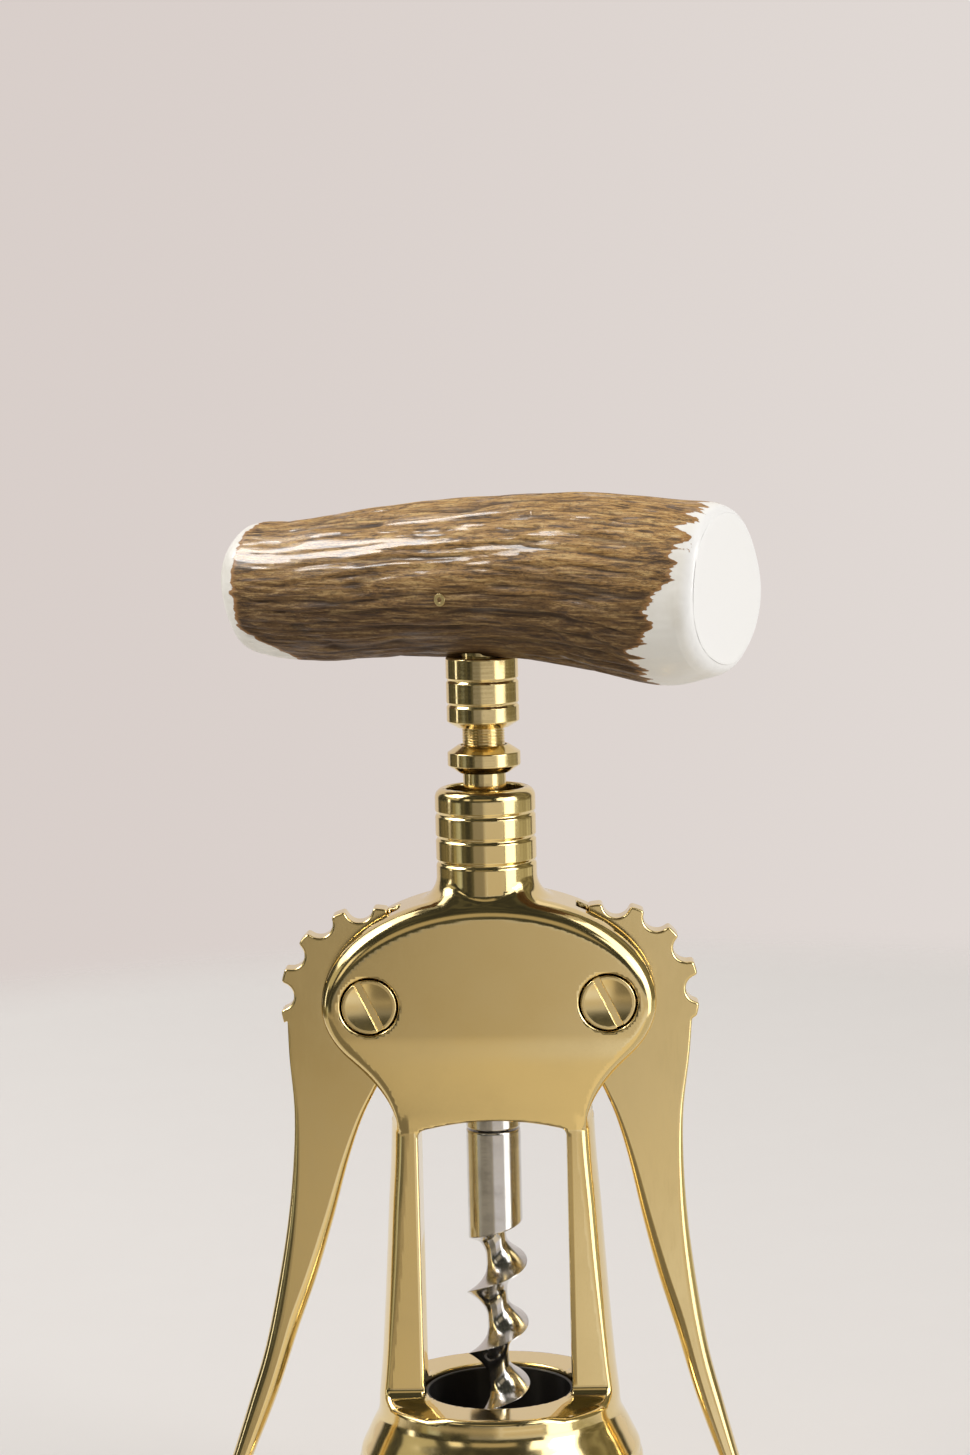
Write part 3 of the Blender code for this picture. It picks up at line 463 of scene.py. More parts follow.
# %% The casting's outer form
# Heights with their radii
FOOT = ((-1, 23.4), (0, 23.4), (0.25, 23.9), (0.75, 24.1), (2.9, 24.1), (3.3, 23.95))
FOOT += ((4.2, 23.0), (4.8, 22.9))
SKIRT = ((15.9, 22.9), (16.6, 22.9), (17.0, 23.0))
WAIST = ((22.3, 25.15), (23.2, 24.85), (24.8, 24.05), (26.6, 23.2), (28.3, 22.3))
WAIST += ((29.4, 21.85), (30.6, 21.67), (32.0, 21.6), (LEDGE, 21.5))
LEGS = ((39.6, 20.84), (48.9, 20.15), (58.0, 19.55), (67.2, 18.98), (80.0, 18.15))
LEGS += ((105.0, 17.4),)
BEAD = (22.6, 19.9, 3.0)  # radius and height of its middle, and its own radius
GROOVES = (137.45, 133.15, 128.85)
LEG_FACE, HEAD_FACE = 7.4, 10.2  # half the thickness of the legs and of the head
WINDOW = 13.1  # half its width

bead_z = np.linspace(17.1, 21.4, 130)
bead_r = BEAD[0] + np.sqrt(np.maximum(BEAD[2] ** 2 - (bead_z - BEAD[1]) ** 2, 0))
bead = np.column_stack([bead_z, bead_r])
side = np.concatenate([through(FOOT + SKIRT), bead, through(WAIST + LEGS)])
side_z = np.arange(-1, 106, 0.04)
side_r = np.interp(side_z, side[:, 0], side[:, 1])
soft = np.exp(-np.linspace(-2, 2, 9) ** 2)
side_r = np.convolve(np.pad(side_r, 4, mode="edge"), soft / soft.sum(), "valid")
side_slope = np.gradient(side_r, side_z)


def blank(x, y, z):
    """Bell and legs, turned and then milled in front and behind."""
    r = np.hypot(x, y)
    steep = np.sqrt(1 + np.interp(z, side_z, side_slope) ** 2)
    form = (r - np.interp(z, side_z, side_r)) / steep
    form = np.maximum(meet(form, -z, 0.25), z - 100)
    beside = (np.abs(x) - 12.9) * 0.945 + (-y - LEG_FACE) * 0.327
    dip = 0.18 * (beside + np.hypot(beside, 0.5)) * ease(0.5, 6, -y - LEG_FACE)
    milled = join(z - LEDGE + np.minimum(dip, 0.9), np.abs(y) - LEG_FACE, 1.8)
    return meet(form, milled, 0.8 + 0.6 * ease(38, 62, z))


def plate(x, y, z):
    """The oval head: widely rounded above, its face sloping in to the legs at its foot."""
    wide, tall = 29.45, np.where(z > PIVOT_Z, 19.0, 17.9)
    u, w = x / wide, (z - PIVOT_Z) / tall
    reach = np.maximum(np.hypot(u, w), 1e-4)
    oval = (reach - 1) * reach / np.maximum(np.hypot(u / wide, w / tall), 1e-5)
    outline = join(oval, np.maximum(np.abs(x) - 16.6, z - 98), 8.0)
    edge = 2.2 + 1.8 * ease(PIVOT_Z - 4, PIVOT_Z + 14, z)
    edge = 0.5 + (edge - 0.5) * ease(81.5, 93, z)
    foot = (np.abs(y) - 7.1) * 0.958 - (z - ARCH) * 0.288
    out, front = outline + edge, fold(np.abs(y) - HEAD_FACE, foot, 2.2) + edge
    round_off = np.hypot(np.maximum(out, 0), np.maximum(front, 0))
    form = np.minimum(np.maximum(out, front), 0) + round_off - edge
    return meet(form, ARCH + 0.4 - z, 0.35)


def tube(r, z):
    """The collar with its rounded rim and grooves."""
    wall = np.full_like(z, COLLAR)
    for middle in GROOVES:
        wall -= 0.14 * (1 + np.cos(np.pi * np.clip((z - middle) / 0.6, -1, 1)))
    return meet(meet(r - wall, 118 - z, 2.0), z - RIM, 1.75)


print("bell", 2 * max(side_r).round(2), "mm wide at the bead, collar", 2 * COLLAR, "mm")

# %% [markdown]
# The cuts come last, as on the real casting: the bell's hollow and its ring, the window with
# its arched top, the rack's bore, a slot for each lever's toothed hub with a notch for the
# arm's root below it, and the pivots' bores with a counterbore at both faces.


# %% The casting's cuts and its mesh
HOLLOW, RING, RACK_BORE = 18.3, 13.8, 6.85  # radii
SLOT, HALF_SLOT = 16.75, 2.8  # radius about a pivot, and half the slot's width
SINK, SINK_FLOOR = 5.1, 8.1  # a counterbore's radius, and how far its floor is from the middle


def casting(x, y, z):
    """The whole body as one distance."""
    r, ax, ay = np.hypot(x, y), np.abs(x), np.abs(y)
    form = -fold(-blank(x, y, z), -plate(x, y, z), 0.8)
    form = join(form, tube(r, z), 0.5 + 2.9 * ease(2, 8, ax))
    hollow = np.minimum(np.maximum(r - HOLLOW, z - 27.0), r - RING)
    form = meet(form, -np.where(z < 60, hollow, 9), 0.35)
    arch = ARCH + 1.8 - 1.8 * (x / WINDOW) ** 2
    opening = meet(ax - WINDOW, np.maximum(LEDGE - z, z - arch), 1.0)
    form = meet(form, -opening, 0.5 * ease(33.6, 36, z) + 1e-6)
    form = meet(form, -np.maximum(r - RACK_BORE, 80 - z), 0.45)
    hub = np.hypot(ax - PIVOT_X, z - PIVOT_Z)
    # Below each slot a notch leaves room for the arm's root at its inner limit.
    root = np.maximum(16.9 + 0.03 * (z - 80) - ax, np.abs(z - 86.5) - 3.5)
    form = meet(form, -np.maximum(np.minimum(hub - SLOT, root), ay - HALF_SLOT), 0.25)
    form = meet(form, -np.maximum(hub - SINK, SINK_FLOOR - ay), 0.4)
    return meet(form, -(hub - PIVOT_BORE), 0.15)


STEP, FINE = 0.7, 0.45  # spacing of the grid, and near the pivots
finer = [(middle - 0.75, middle + 0.7, 0.14) for middle in GROOVES]
finer += [(-0.4, 5, 0.35), (16, 24, 0.35), (31.5, 37, 0.4), (81, 84.5, 0.4)]
finer += [(139.5, 142.5, 0.3), (PIVOT_Z - 6, PIVOT_Z + 6, FINE)]
beside = [(side * PIVOT_X - 6, side * PIVOT_X + 6, FINE) for side in (-1, 1)]
grid = [levels(-30.1, 30.2, STEP, beside), np.arange(-26.05, 26.1, STEP)]
grid.append(levels(-0.37, 142.5, STEP, finer))
points, faces = skin(casting, grid)
points, normals = settle(casting, points)
piece("casting", (points, faces, normals), brass_cast, "frame", "frame_casting")
off = np.abs(casting(*points.T))
print("vertices off the surface by more than 0.02 mm:", int((off > 0.02).sum()))

# %% [markdown]
# ## Turned pieces
#
# Liner, collar, ferrule, the screws' barrels and the ring come off a lathe, so one helper
# turns a profile about the axis. A profile is a list of corners with a radius each, and each
# corner becomes a small arc. The arcs catch the thin lines of light that tell a real edge
# from a drawn one. The normals come from the profile too, so flats stay flat.


# %% Turn a profile
def profile(corners, parts=5):
    """Corners of (radius, height, rounding) as points with their outward directions."""
    flat = [np.array(c[:2], float) for c in corners]
    if sum(a[0] * b[1] - b[0] * a[1] for a, b in zip(flat, flat[1:] + flat[:1])) < 0:
        flat, corners = flat[::-1], corners[::-1]
    out = []
    for before, here, after, corner in zip(flat[-1:] + flat, flat, flat[1:] + flat[:1], corners):
        one, two = here - before, after - here
        room = 0.45 * min(np.linalg.norm(one), np.linalg.norm(two))
        one, two = one / np.linalg.norm(one), two / np.linalg.norm(two)
        bend = math.atan2(one[0] * two[1] - one[1] * two[0], one @ two)
        wanted = corner[2] if len(corner) > 2 else 0.08
        back = min(wanted * abs(math.tan(bend / 2)), room)
        normal = np.array([one[1], -one[0]])
        if abs(bend) < 1e-4 or here[0] < 1e-6:
            out.append((*here, *(normal if one[1] ** 2 < 0.99 else [two[1], -two[0]])))
            continue
        radius = back / math.tan(bend / 2)
        centre = here - one * back - normal * radius
        for i in range(parts + 1):
            c, s = math.cos(bend * i / parts), math.sin(bend * i / parts)
            n = np.array([normal[0] * c - normal[1] * s, normal[0] * s + normal[1] * c])
            out.append((*(centre + n * radius), *n))
    return np.array(out)


def turned(corners, steps=128, parts=5):
    """A closed profile turned about Z: points, faces and normals."""
    line = profile(corners, parts)
    n = len(line)
    turns = np.linspace(0, math.tau, steps, endpoint=False)
    c, s = np.cos(turns)[:, None], np.sin(turns)[:, None]
    one = np.ones_like(c)
    points = np.stack([c * line[:, 0], s * line[:, 0], one * line[:, 1]], 2).reshape(-1, 3)
    normals = np.stack([c * line[:, 2], s * line[:, 2], one * line[:, 3]], 2).reshape(-1, 3)
    pole = line[:, 0] < 1e-6
    faces = []
    for i in range(steps):
        k = (i + 1) % steps
        for j in range(n):
            m = (j + 1) % n
            corners = [i * n + j, k * n + j, k * n + m, i * n + m]
            corners = [v % n if pole[v % n] else v for v in corners]
            corners = list(dict.fromkeys(corners))
            if len(corners) > 2:
                faces.append(corners)
    used = sorted({v for face in faces for v in face})
    place = {v: i for i, v in enumerate(used)}
    return points[used], [[place[v] for v in face] for face in faces], normals[used]


def along_y(points, front, x=0.0, z=0.0):
    """Lay what was turned about Z along a pivot, its top to the front or to the rear."""
    sign = -1 if front else 1
    return np.stack([-sign * points[:, 0] + x, sign * points[:, 2], points[:, 1] + z], 1)


# %% [markdown]
# ## The liner
#
# A dark sleeve seats a bottle's lip inside the bell. Its thin neck lines the ring and shows
# as the black band in the bell's opening.

# %% The liner
MOUTH = 15.2  # radius where the bottle's lip sits
corners = [(13.5, 32.6, 0.25), (13.5, 26.7, 0.1), (18.0, 26.7, 0.2), (18.0, 1.0, 0.3)]
corners += [(16.6, 1.0, 0.3), (MOUTH, 3.8, 0.8), (MOUTH, 24.2, 0.5), (12.8, 24.2, 0.4)]
corners.append((12.8, 32.6, 0.25))
piece("liner_sleeve", turned(corners, 160), liner_dark, "frame", "bell_liner")
print("the liner's mouth is", 2 * MOUTH, "mm wide")

# %% [markdown]
# ## The levers
#
# Each lever is cut from one brass plate: a hub with round-bottomed teeth, and a long curved
# arm whose edges are rounded more and more towards its tip. The outline is drawn from arcs
# and a smooth curve, spaced evenly and softened a little, and then extruded. The rounding at
# each point is kept smaller than the room inside the outline there, so it never folds.

# %% A lever's outline
GEAR_TIP, GULLET, TOOTH = 16.25, 2.45, math.radians(27)
FIRST = math.radians(2)
DROP = 92.5


def arc(x, z, radius, start, end, steps):
    turns = np.linspace(start, end, steps)
    return np.column_stack([x + radius * np.cos(turns), z + radius * np.sin(turns)])


def gear():
    """Tips and gullets from the tooth below the rack's side round to the last one."""
    mouth = 2 * math.asin(GULLET / 2 / GEAR_TIP)
    reach, tip = TOOTH / 2 - mouth, 0.3 / GEAR_TIP
    parts = []
    for i in range(-1, 8):
        middle = FIRST + i * TOOTH
        parts.append(arc(0, 0, GEAR_TIP, middle - reach + tip, middle + reach - tip, 12))
        if i < 7:
            gullet = middle + TOOTH / 2
            x, z = GEAR_TIP * math.cos(gullet), GEAR_TIP * math.sin(gullet)
            back, sweep = gullet + math.pi, math.radians(77)
            parts.append(arc(x, z, GULLET, back + sweep, back - sweep, 40))
    return np.concatenate(parts)


ARM = ((0.162, 0.045), (0.158, 0.12), (0.149, 0.22), (0.151, 0.32), (0.162, 0.44), (0.182, 0.57))
ARM += ((0.208, 0.7), (0.24, 0.81), (0.272, 0.915), (0.296, 0.985), (0.284, 1.0), (0.262, 0.992))
ARM += ((0.234, 0.92), (0.184, 0.79), (0.143, 0.66), (0.106, 0.55), (0.075, 0.44), (0.045, 0.32))
ARM += ((0.018, 0.235), (-0.012, 0.17))


def even(points, spacing, soften=0.22):
    """A closed line with even spacing, its corners softened."""
    closed = np.vstack([points, points[:1]])
    way = np.concatenate([[0], np.cumsum(np.linalg.norm(np.diff(closed, axis=0), axis=1))])
    count = int(way[-1] / spacing)
    at = np.linspace(0, way[-1], count, endpoint=False)
    line = np.column_stack([np.interp(at, way, closed[:, k]) for k in (0, 1)])
    width = int(3 * soften / spacing) + 1
    weight = np.exp(-0.5 * (np.arange(-width, width + 1) * spacing / soften) ** 2)
    shifted = [np.roll(line, -k, 0) * w for k, w in zip(range(-width, width + 1), weight)]
    return sum(shifted) / weight.sum()


def lever_outline(splay):
    """The outline about its pivot, with the arm down and to the left."""
    turn = np.array([[math.cos(splay), math.sin(splay)], [-math.sin(splay), math.cos(splay)]])
    arm = -through(ARM, 24) * DROP @ turn.T
    start = math.atan2(arm[-1, 1], arm[-1, 0]) + math.radians(12)
    hub = arc(0, 0, GEAR_TIP - GULLET, start, FIRST - 1.5 * TOOTH, 30)
    return even(np.concatenate([gear(), arm, hub]), 0.22)


print("a lever has", round(math.tau / TOOTH, 1), "teeth to the turn")


# %% Extrude and round a plate
def inside_room(line, inward):
    """How large a circle fits inside the outline at each point."""
    gap = line[None] - line[:, None]
    facing = (gap * inward[:, None]).sum(2)
    size = (gap**2).sum(2) / (2 * np.maximum(facing, 1e-6))
    return np.where(facing > 1e-3, size, 99).min(1)


def bored_plate(line, thick, wide, deep, bore, steps=8):
    """Extrude an outline about Y = 0, its edges rounded by ellipses, with a round bore at 0."""
    ahead = np.roll(line, -1, 0) - np.roll(line, 1, 0)
    ahead /= np.linalg.norm(ahead, axis=1)[:, None]
    area = (line[:, 0] * np.roll(line[:, 1], -1) - np.roll(line[:, 0], -1) * line[:, 1]).sum()
    inward = np.column_stack([-ahead[:, 1], ahead[:, 0]]) * np.sign(area)
    room = inside_room(line, inward)
    room = np.min([np.roll(room, k) for k in range(-6, 7)], 0)
    wide = np.minimum(wide, 0.85 * room)
    wide = np.mean([np.roll(wide, k) for k in range(-8, 9)], 0)
    deep = np.minimum(deep, thick / 2 - 0.02)
    n, points, normals = len(line), [], []
    for half in (-1, 1):
        for i in range(steps + 1):
            t = math.pi / 2 * (1 - i / steps if half < 0 else i / steps)
            at = line + inward * (wide * (1 - math.cos(t)))[:, None]
            y = half * (thick / 2 - deep * (1 - math.sin(t)))
            out = -inward * (math.cos(t) / wide)[:, None]
            normal = np.column_stack([out[:, 0], half * math.sin(t) / deep, out[:, 1]])
            points.append(np.column_stack([at[:, 0], y, at[:, 1]]))
            normals.append(normal / np.linalg.norm(normal, axis=1)[:, None])
    faces = []
    for ring in range(2 * steps + 1):
        for i in range(n):
            j = (i + 1) % n
            faces.append((ring * n + i, ring * n + j, (ring + 1) * n + j, (ring + 1) * n + i))
    sides, edge, base = 48, thick / 2, n * (2 * steps + 2)
    turns = np.linspace(0, math.tau, sides, endpoint=False)
    c, s = np.cos(turns), np.sin(turns)
    rings = [(bore + 0.2, -edge, 0, -1), (bore, 0.2 - edge, -1, 0)]
    rings += [(r, -y, radial, -straight) for r, y, radial, straight in rings[::-1]]
    for r, y, radial, straight in rings:
        points.append(np.column_stack([r * c, y + 0 * c, r * s]))
        normals.append(np.column_stack([radial * c, straight + 0 * c, radial * s]))
    for k in range(3 * sides):
        j = k + 1 if (k + 1) % sides else k + 1 - sides
        faces.append((base + k, base + j, base + j + sides, base + k + sides))
    # Each face of the plate is two polygons that meet in lines from the bore to the outline.
    angle = np.where(np.hypot(*line.T) < GEAR_TIP + 1, np.arctan2(line[:, 1], line[:, 0]), 1.5)
    east, west = int(np.argmin(np.abs(angle))), int(np.argmax(np.abs(angle)))
    over = [(east + k) % n for k in range((west - east) % n + 1)]
    under = [(west + k) % n for k in range((east - west) % n + 1)]
    top, low = list(range(sides // 2 + 1)), list(range(sides // 2, sides + 1))
    backs = (top[::-1], low[::-1]) if area > 0 else (low, top)
    for ring, hole in ((0, base), ((2 * steps + 1) * n, base + 3 * sides)):
        for run, back in zip((over, under), backs):
            faces.append([ring + k for k in run] + [hole + k % sides for k in back])
    return np.concatenate(points), faces, np.concatenate(normals)


# %% Both levers
ARM_THICK = 5.0
for name, sign, splay in (("left", -1, 1.73), ("right", 1, -2.1)):
    line = lever_outline(math.radians(splay))
    down = ease(0.05, 0.65, -line[:, 1] / DROP)
    wide, deep = 0.5 + 1.7 * down, 0.5 + 1.6 * down
    points, faces, normals = bored_plate(line * (-sign, 1), ARM_THICK, wide, deep, PIVOT_BORE)
    shape = points + (sign * PIVOT_X, 0, PIVOT_Z), faces, normals
    piece("arm_" + name, shape, brass_plate, name + "_lever", "lever_" + name)


# %% [markdown]
# ## Screws and barrels
#
# A round slotted head closes each pivot from the front. It is dished, and polishing has
# rounded every edge of it, so it is made like the casting: a few distances with soft edges.
# Its barrel comes in from behind and is a plain turned piece.

# %% Pivot screws
HEAD, UNDER, TOP = 4.8, 8.4, 10.2  # the head's radius and its two faces
SLANT = math.radians(26)  # how far the slot is turned


def screw(x, y, z):
    """A dished and slotted head on a short shank, about Y."""
    r, h = np.hypot(x, z), -y
    dish = TOP - 0.34 * np.maximum(1 - (r / 4.15) ** 2, 0)
    head = meet(meet(r - HEAD, h - dish, 0.22), UNDER - h, 0.15)
    across = np.abs(x * math.cos(SLANT) + z * math.sin(SLANT))
    slot = np.maximum(across - 0.62, TOP - 0.8 - h)
    head = meet(head, -slot, 0.1)
    return np.minimum(head, meet(r - 1.6, 0.9 - h, 0.2) + 1e3 * (h > UNDER + 0.5))


axis = np.arange(-5.1, 5.2, 0.13)
points, faces = skin(screw, (axis, levels(-10.5, -0.5, 0.5, [(-10.6, -8.1, 0.11)]), axis))
points, normals = settle(screw, points)
for name, sign in (("left", -1), ("right", 1)):
    shape = points + (sign * PIVOT_X, 0, PIVOT_Z), faces, normals
    piece("screw_" + name, shape, brass_screw, "frame", "pivot_screw_" + name)


# %% Pivot barrels
corners = [(0, -0.3), (1.9, -0.3), (1.9, -8.1, 0.1), (3.0, -8.1, 0.2), (3.0, UNDER, 0.1)]
corners += [(HEAD, UNDER, 0.15), (HEAD, TOP, 0.35), (0, TOP)]
points, faces, normals = turned(corners, 96)
for name, sign in (("left", -1), ("right", 1)):
    shape = along_y(points, False, sign * PIVOT_X, PIVOT_Z), faces, along_y(normals, False)
    piece("barrel_" + name, shape, brass_screw, "frame", "pivot_barrel_" + name)


# %% [markdown]
# ## Growing a mesh with Geometry Nodes
#
# The rack repeats one bead, the stem repeats one thread and the worm follows one rule, so
# Geometry Nodes make all three. A tree is built with its sizes as named inputs, run once by
# a modifier, and its result kept as plain points, to which a turned part can be added.


# %% Run a tree once
def grow(name, sizes, build, look, *others):
    """Run a tree with named sizes, and give its points, faces and normals with other parts'."""
    group = bpy.data.node_groups.new(name, "GeometryNodeTree")
    for label, value in sizes.items():
        kind = "NodeSocketInt" if isinstance(value, int) else "NodeSocketFloat"
        group.interface.new_socket(label, in_out="INPUT", socket_type=kind)
    group.interface.new_socket("Geometry", in_out="OUTPUT", socket_type="NodeSocketGeometry")
    tree = Tree(group)
    start = tree.new("NodeGroupInput")
    shape = build(tree, {label: Wire(tree, start.outputs[label]) for label in sizes})
    shape = tree.node("GeometryNodeRealizeInstances", None, {"Geometry": shape})
    shape = tree.node("GeometryNodeSetMaterial", None, {"Geometry": shape, "Material": look})
    tree.put(tree.new("NodeGroupOutput").inputs["Geometry"], shape)
    holder = add(name, bpy.data.meshes.new(name + "_start"))
    modifier = holder.modifiers.new(name, "NODES")
    modifier.node_group = group
    for item in group.interface.items_tree:
        if item.in_out == "INPUT":
            modifier[item.identifier] = sizes[item.name]
    graph = bpy.context.evaluated_depsgraph_get()
    mesh = bpy.data.meshes.new_from_object(holder.evaluated_get(graph))
    holder.modifiers.clear()
    bpy.data.objects.remove(holder)
    bpy.data.node_groups.remove(group)
    outward(mesh)
    places, outs = np.zeros((2, 3 * len(mesh.vertices)))
    mesh.vertices.foreach_get("co", places)
    mesh.vertex_normals.foreach_get("vector", outs)
    points, normals = places.reshape(-1, 3) / MM, outs.reshape(-1, 3)
    faces = [tuple(face.vertices) for face in mesh.polygons]
    print(name, "grew", len(points), "vertices from", len(sizes), "sizes")
    for extra, skins, directions in others:
        faces += [[len(points) + v for v in face] for face in skins]
        points, normals = np.vstack([points, extra]), np.vstack([normals, directions])
    return points, faces, normals


# %% [markdown]
# ## The rack
#
# Ring teeth, not straight ones, let the rack turn with the grip and still drive the levers.
# One bead is a circle swept round a circle. A line of points a tooth apart carries a copy of
# it to each place down the sleeve.


# %% The rack's beads on their sleeve
def circle(tree, sides, radius):
    """A circle, its radius in millimetres."""
    sockets = {"Resolution": sides, "Radius": radius * MM}
    return tree.node("GeometryNodeCurvePrimitiveCircle", None, sockets)


def beads(tree, size):
    path, ring = circle(tree, 96, size["Centre"]), circle(tree, 28, size["Bead"])
    bead = tree.node("GeometryNodeCurveToMesh", None, {"Curve": path, "Profile Curve": ring})
    sockets = {"Count": size["Count"], "Start Location": tree.vector(Z=size["Lowest"] * MM)}
    sockets["Offset"] = tree.vector(Z=size["Step"] * MM)
    line = tree.node("GeometryNodeMeshLine", {"mode": "OFFSET"}, sockets)
    sockets = {"Points": line, "Instance": bead}
    return tree.node("GeometryNodeInstanceOnPoints", None, sockets)


sizes = {"Count": 6, "Lowest": 94.484, "Step": 7.1628, "Centre": 4.7, "Bead": 1.85}
corners = [(2.8, 83.6, 0.15), (4.4, 83.6, 0.3), (4.4, 133.88, 0.3), (2.8, 133.88, 0.15)]
shape = grow("rack_beads", sizes, beads, steel, turned(corners, 96))
piece("rack", shape, steel, "rack", "rack_sleeve")

# %% [markdown]
# ## The worm
#
# A plain shank runs out into a slim core that carries one sharp flight. Its radius is a rule
# of angle and height, so a flat grid is wrapped about the axis: one side of the grid becomes
# the turn, the other the way down. The grid's middle line follows the flight's crest, which
# keeps that edge crisp.


# %% The worm's rule
def wound(tree, size):
    sockets = {"Size X": 2.0, "Size Y": 1.0}
    sockets |= {"Vertices X": size["Sides"], "Vertices Y": size["Rows"]}
    sheet = tree.node("GeometryNodeMeshGrid", None, sockets)
    x, y, _ = tree.xyz(tree.node("GeometryNodeInputPosition"))
    way = (y + 0.5) * (size["Length"] + 12.0) - 12.0

    def share(value):
        return tree.node("ShaderNodeClamp", None, {"Value": value})

    height = 10.0 * share((way + 11.0) / 10.0) - 10.0 - way.math("MAXIMUM", way, 0.0)
    spread = math.pi * x * x.math("ABSOLUTE", x) ** 0.3
    phase = math.tau * (height + size["Crest drop"]) / size["Pitch"]
    angle = phase + spread
    local = (angle + math.pi) % math.tau - math.pi
    lead = (height + size["Crest drop"]) / size["Pitch"] - local / math.tau
    apart = (lead + 0.5) % 1.0 - 0.5
    crest = 1.0 - 2.0 * apart.math("ABSOLUTE", apart)
    flight = size["Core"] + (size["Radius"] - size["Core"]) * crest ** size["Sharpness"]
    ramp = size["Slant"] * (local + math.pi) / math.tau - size["Shank length"]
    back = share((local - math.pi / 3) / (math.pi * 2 / 3))
    above = height + size["Crest drop"] - size["Pitch"] * local / math.tau
    runout = back * (above > 0.0) * (above < size["Pitch"])
    near = (height - ramp) / 0.8
    solid = near.math("MAXIMUM", near, runout).ease(0.0, 1.0)
    point = share((height + size["Length"]) / 9.0) ** 0.5
    outer = (flight + (size["Shank"] - flight) * solid) * point
    inner = 2.8 * share(way + 12.0)
    rim = share((way + 1.0) / 0.6)
    round_off = 0.35 * (1.0 - share((way + 0.4) / 0.8)) ** 2.0
    radius = inner + (outer - inner) * rim - round_off * rim
    turn_x, turn_y = angle.math("COSINE", angle), angle.math("SINE", angle)
    up = (height + size["Top"]) * MM
    place = tree.vector(X=radius * turn_x * MM, Y=radius * turn_y * MM, Z=up)
    sockets = {"Geometry": sheet, "Position": place}
    skinned = tree.node("GeometryNodeSetPosition", None, sockets)
    sockets = {"Geometry": skinned, "Distance": 1e-6}
    return tree.node("GeometryNodeMergeByDistance", None, sockets)


sizes = {"Sides": 65, "Rows": 460, "Length": 57.5, "Pitch": 11.3, "Crest drop": 25.4}
sizes |= {"Radius": 5.5, "Core": 1.8, "Sharpness": 2.9, "Shank": 4.85, "Shank length": 21.4}
sizes |= {"Slant": 7.0, "Top": 80.5}
points, faces, normals = grow("worm_skin", sizes, wound, steel)
c, s = math.cos(GRIP_TURN), math.sin(GRIP_TURN)
turn = np.array([[c, s, 0], [-s, c, 0], [0, 0, 1]])
piece("auger", (points @ turn, faces, normals @ turn), steel, "spindle", "worm")

# %% Thrust ring, stop collar and ferrule
corners = [(2.8, 80.8, 0.15), (4.85, 80.8, 0.35), (4.85, 83.3, 0.35), (2.8, 83.3, 0.15)]
piece("ring_washer", turned(corners, 96), steel, "spindle", "thrust_ring")

corners = [(4.1, 144.6, 0.1), (4.5, 144.6, 0.15), (6.45, 145.9, 0.3), (6.45, 148.2, 0.3)]
corners += [(4.5, 149.5, 0.15), (4.1, 149.5, 0.1)]
piece("stop_flange", turned(corners), brass_turned, "spindle", "stop_collar")

corners = [(4.1, 152.6, 0.1), (4.6, 152.6, 0.2), (6.4, 153.7, 0.35)]
for middle in (156.7, 161.0):
    corners += [(6.4, middle - 0.42, 0.3), (6.12, middle, 0.12), (6.4, middle + 0.42, 0.3)]
corners += [(6.4, 165.1, 0.4), (4.1, 165.1, 0.1)]
piece("ferrule_sleeve", turned(corners), brass_turned, "spindle", "ferrule")

# %% [markdown]
# ## The threaded stem
#
# The stem is plain where the stop collar and the ferrule hide it. Between them a fine thread
# shows, and that is a small ridge wound on a helix.


# %% The stem and its thread
def thread(tree, size):
    radius = size["Radius"] * MM
    sockets = {"Resolution": 48, "Rotations": size["Turns"], "Start Radius": radius}
    sockets |= {"End Radius": radius, "Height": size["Turns"] * size["Pitch"] * MM}
    helix = tree.node("GeometryNodeCurveSpiral", None, sockets)
    sockets = {"Curve": helix, "Profile Curve": circle(tree, 6, size["Ridge"])}
    ridge = tree.node("GeometryNodeCurveToMesh", None, {**sockets, "Fill Caps": True})
    sockets = {"Geometry": ridge, "Translation": tree.vector(Z=size["Bottom"] * MM)}
    return tree.node("GeometryNodeTransform", None, sockets)


sizes = {"Turns": 9.0, "Pitch": 0.48, "Radius": 3.62, "Ridge": 0.17, "Bottom": 149.0}
corners = [(2.8, 134.18, 0.1), (3.8, 134.18, 0.3), (3.8, 148.6, 0.1), (3.55, 148.8, 0.1)]
corners += [(3.55, 153.4, 0.1), (3.8, 153.6, 0.1), (3.8, 181.6, 0.4), (0, 181.6), (0, 149.2)]
corners.append((2.8, 149.2, 0.1))
shape = grow("stem_thread", sizes, thread, brass_turned, turned(corners, 96))
piece("stem", shape, brass_turned, "spindle", "threaded_stem")

# %% [markdown]
# ## The antler grip
#
# A length of antler, polished but not smoothed: bark-brown with long raised veins, and white
# bone at both ends where the crust has been worn or sawn away. Its cross-section changes all
# along, so it is lofted from many rings. The veins are noise stretched along the grip, cut
# into the surface as real grooves, and the same number is kept as an attribute so that the
# colour follows the relief.

# %% The grip's form
LEFT, RIGHT, THICK = 50.15, 49.1, 14.3
SIDES = 216  # points in each ring
# How far the middle rises, and the radius, along the grip, as shares of THICK
RISES = (-0.17, -0.24, -0.2, -0.14, -0.07, -0.03, 0.01, -0.01, -0.08, -0.16, -0.12)
RADII = (0.82, 0.89, 0.93, 0.95, 0.975, 0.995, 1.015, 1.06, 1.11, 1.11, 1.0)
LEFT_END = ((0, 0), (0.03, 0.3), (0.22, 0.6), (0.75, 0.8), (2.2, 0.94), (3.6, 0.985), (5.2, 1))
RIGHT_END = ((3.0, 1), (1.8, 0.985), (0.9, 0.955), (0.35, 0.91), (0.08, 0.84), (0, 0.6), (0, 0))
